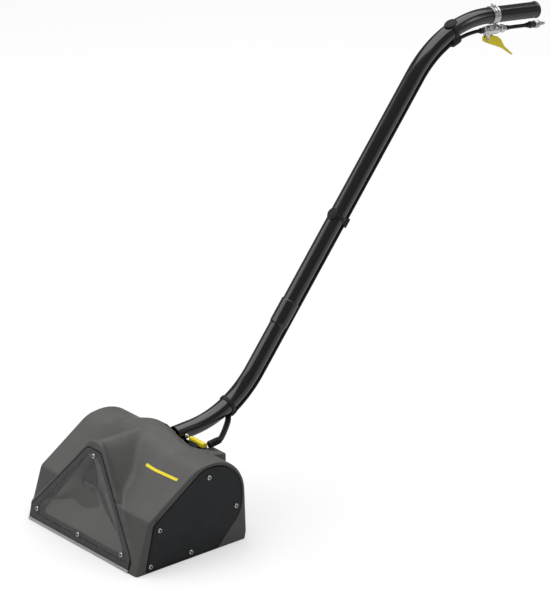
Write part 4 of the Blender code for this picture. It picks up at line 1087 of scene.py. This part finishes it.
def valve():
    """Valve on the handle: hexagon at each end, a waisted barrel between, cheeks for the lever."""
    barrel = [(0.4, 0), (5.2, 0), (5.4, 7.5), (6.8, 8.5), (6.8, 10), (8.8, 11.5), (9.5, 14), (9.5, 22),
              (8.7, 24), (8.7, 27), (9.5, 29), (9.5, 36), (8.0, 39), (6.4, 40.5), (6.0, 43), (6.0, 57.7),
              (0.4, 58)]
    turned("valve_barrel", barrel, fitting_at(0), FIT_AHEAD, CHROME, "wand", "chrome",
           ["spray_valve"], sides=48, soft=0.8)
    for name, low, high, reach in (("inlet", 44.0, 53.0, 8.6), ("outlet", 1.0, 7.0, 7.8)):
        nut = [(0.4, low), (reach, low), (reach, high), (0.4, high)]
        turned(f"valve_nut_{name}", nut, fitting_at(0), FIT_AHEAD, CHROME, "wand", "chrome", sides=48,
               soft=0.7, hexagon=(low - 1, high + 1), sharp=20)
    flat = rounded([(6, 3, 0), (14.5, 3, 0), (13, 19.5, 3), (7, 19.5, 3)], 15)
    outline = np.array([fitting_at(a, d)[1:] for a, d in flat])
    for k, x in enumerate((-5.9, 4.5), 1):
        slab(f"lever_cheek_{k}", outline, x, x + 1.4, 0.5, CHROME, "wand", "chrome", length=2.0)
    turned("plunger_rod", [(0.3, 3), (2.3, 3), (2.3, 12.6), (1.2, 13.5), (0.3, 13.6)],
           fitting_at(PLUNGER_PLACE), FIT_UNDER, ZINC, "plunger", "steel", ["valve_plunger"], sides=24,
           soft=0.4)


def lever():
    """Yellow lever: thick over its pin and the plunger, thinning into a long turned-down tail."""
    shape = [(-9, -3.5, 2), (6, -6.2, 4), (16, -5, 4), (29, -2.5, 6), (38, 4, 8), (48, 18, 8), (73, 36, 0.8),
             (71.5, 38.5, 0.8), (45, 23, 12), (25, 16, 10), (5, 9.5, 5), (-6, 5, 3)]
    flat = rounded(shape, 12)
    outline = np.array([fitting_at(LEVER_PIN_PLACE + a, LEVER_PIN_DROP + d)[1:] for a, d in flat])
    slab("squeeze_lever", outline, -4.0, 4.0, 1.3, YELLOW, "lever", "signal_yellow", ["spray_lever"],
         length=1.5)
    pin = fitting_at(LEVER_PIN_PLACE, LEVER_PIN_DROP)
    rivet = [(0.3, -7.5), (3.0, -7.5), (3.0, -6.8), (2.0, -6.7), (2.0, 6.7), (3.0, 6.8), (3.0, 7.5),
             (0.3, 7.5)]
    turned("lever_rivet", rivet, pin, (1, 0, 0), ZINC, "wand", "steel", ["lever_pin"], sides=24,
           soft=0.3)


def inlet():
    """Hose nut, stiff inlet stub with its ferrules, and the quick coupler."""
    start = fitting_at(0)
    turned("hose_nut_hex", [(0.3, -9), (5.9, -9), (5.9, -0.5), (0.3, -0.4)], start, FIT_AHEAD, INNER,
           "wand", "black_enamel", ["hose_nut"], sides=48, soft=0.7, hexagon=(-10, 0), sharp=20)
    out = VALVE_LENGTH
    stub = [(0.3, 0.4), (4.9, 0.4), (4.9, 7), (3.8, 7.8), (3.8, 55), (4.9, 55.8), (4.9, 62.8), (0.3, 63)]
    turned("stub_hose", [(r, out + h) for r, h in stub], start, FIT_AHEAD, CORD_SKIN, "wand", "rubber_black",
           ["inlet_stub"], sides=36, soft=0.5)
    body = [(0.3, 63.4), (5.2, 63.4), (7.0, 65), (7.0, 69), (5.4, 70), (5.4, 89), (3.6, 89.5), (0.3, 89.5)]
    turned("coupler_barrel", [(r, out + h) for r, h in body], start, FIT_AHEAD, INNER, "wand", "black_enamel",
           ["coupler_body"], sides=40, soft=0.4)
    collar = [(5.75, 76.5), (7.6, 76.5), (8.1, 78), (7.5, 79), (8.1, 80), (7.5, 81), (8.1, 82),
              (7.5, 83), (8.1, 84), (7.8, 87.6), (5.75, 88)]
    turned("coupler_sleeve", [(r, out + h) for r, h in collar], start, FIT_AHEAD, ZINC, "collar", "steel",
           ["coupler_collar"], sides=40, ring=True, soft=0.3)
    nipple = [(0.3, 89.9), (4.6, 89.9), (4.6, 93), (3.4, 94), (3.4, 99), (3.0, 99.6), (3.0, 101),
              (3.4, 101.5), (3.2, 104), (0.3, 104)]
    turned("coupler_tip", [(r, out + h) for r, h in nipple], start, FIT_AHEAD, ZINC, "wand", "steel",
           ["coupler_nipple"], sides=32, soft=0.3)


clamp()
valve()
lever()
inlet()


# ------------------------------------------------------------------ inner CAD nodes

INNER_LOOKS = {
    "suction_duct": SHADE, "motor_body": ZINC, "motor_shaft": ZINC, "belt_bulkhead": ZINC,
    "brush_bearing_left": ZINC, "brush_bearing_right": ZINC, "drive_belt": RUBBER, "brush_core": INNER,
    "brush_pulley": INNER, "motor_pulley": INNER, "brush_hood": INNER, "brush_bristles": BRISTLE,
    "spray_bar": BRASS, "spray_nozzle_1": BRASS, "spray_nozzle_2": BRASS,
}
for node, look in INNER_LOOKS.items():
    for slot in frame["nodes"][node].material_slots:
        slot.material = look


# ------------------------------------------------------------------ camera, floor and light

def set_camera():
    """Long lens from the right, the front and above."""
    data = bpy.data.cameras.new("camera")
    data.sensor_width = 36.0
    data.lens = 259.55
    data.clip_end = 60.0
    cam = bpy.data.objects.new("camera", data)
    bpy.context.scene.collection.objects.link(cam)
    az, el, roll = (math.radians(a) for a in (50.36, 22.74, 0.21))
    back = Vector((math.sin(az) * math.cos(el), -math.cos(az) * math.cos(el), math.sin(el)))
    cam.location = world([5789, -4322, 3531])
    cam.rotation_mode = "QUATERNION"
    cam.rotation_quaternion = (-back).to_track_quat("-Z", "Y")
    cam.rotation_quaternion.rotate(Quaternion(back, -roll))
    bpy.context.scene.camera = cam


def lamp(name, place, target, size, power):
    """White rectangular area light at a place, aimed at a target."""
    data = bpy.data.lights.new(name, "AREA")
    data.shape = "RECTANGLE"
    data.size, data.size_y = size
    data.energy = power
    obj = bpy.data.objects.new(name, data)
    bpy.context.scene.collection.objects.link(obj)
    obj.location = place
    obj.rotation_mode = "QUATERNION"
    obj.rotation_quaternion = (Vector(target) - Vector(place)).to_track_quat("-Z", "Y")


def studio():
    """Pale floor, a weak even sky, a large light overhead, a low front window and a rear glint."""
    floor = bpy.data.meshes.new("floor")
    floor.from_pydata([(-30, -30, -0.0006), (30, -30, -0.0006), (30, 30, -0.0006), (-30, 30, -0.0006)], [],
                      [(0, 1, 2, 3)])
    mat = bpy.data.materials.new("floor_paper")
    mat.use_nodes = True
    shader = mat.node_tree.nodes["Principled BSDF"]
    shader.inputs["Base Color"].default_value = (0.62, 0.62, 0.62, 1)
    shader.inputs["Roughness"].default_value = 0.9
    shader.inputs["Specular IOR Level"].default_value = 0.1
    shader.inputs["Emission Color"].default_value = (1, 1, 1, 1)
    lifted = mat.node_tree.nodes.new("ShaderNodeLightPath")
    scaled = mat.node_tree.nodes.new("ShaderNodeMath")
    scaled.operation = "MULTIPLY"
    scaled.inputs[1].default_value = 0.40
    mat.node_tree.links.new(lifted.outputs["Is Camera Ray"], scaled.inputs[0])
    mat.node_tree.links.new(scaled.outputs["Value"], shader.inputs["Emission Strength"])
    floor.materials.append(mat)
    obj = bpy.data.objects.new("floor", floor)
    bpy.context.scene.collection.objects.link(obj)
    world_light = bpy.data.worlds.new("studio")
    world_light.use_nodes = True
    background = world_light.node_tree.nodes["Background"]
    background.inputs["Color"].default_value = (1, 1, 1, 1)
    background.inputs["Strength"].default_value = 0.2
    bpy.context.scene.world = world_light
    lamp("top_box", (-0.6, 0.9, 5.0), (-0.5, 0.7, 0.0), (7.0, 7.0), 300)
    lamp("key_window", (-1.25, -2.35, 1.95), (0, 0, 0.35), (3.4, 1.6), 26)
    lamp("rear_glint", (2.4, 2.2, 1.8), (0, 0, 0.2), (0.5, 1.6), 5)
    bpy.context.scene.view_settings.view_transform = "Standard"


set_camera()
studio()
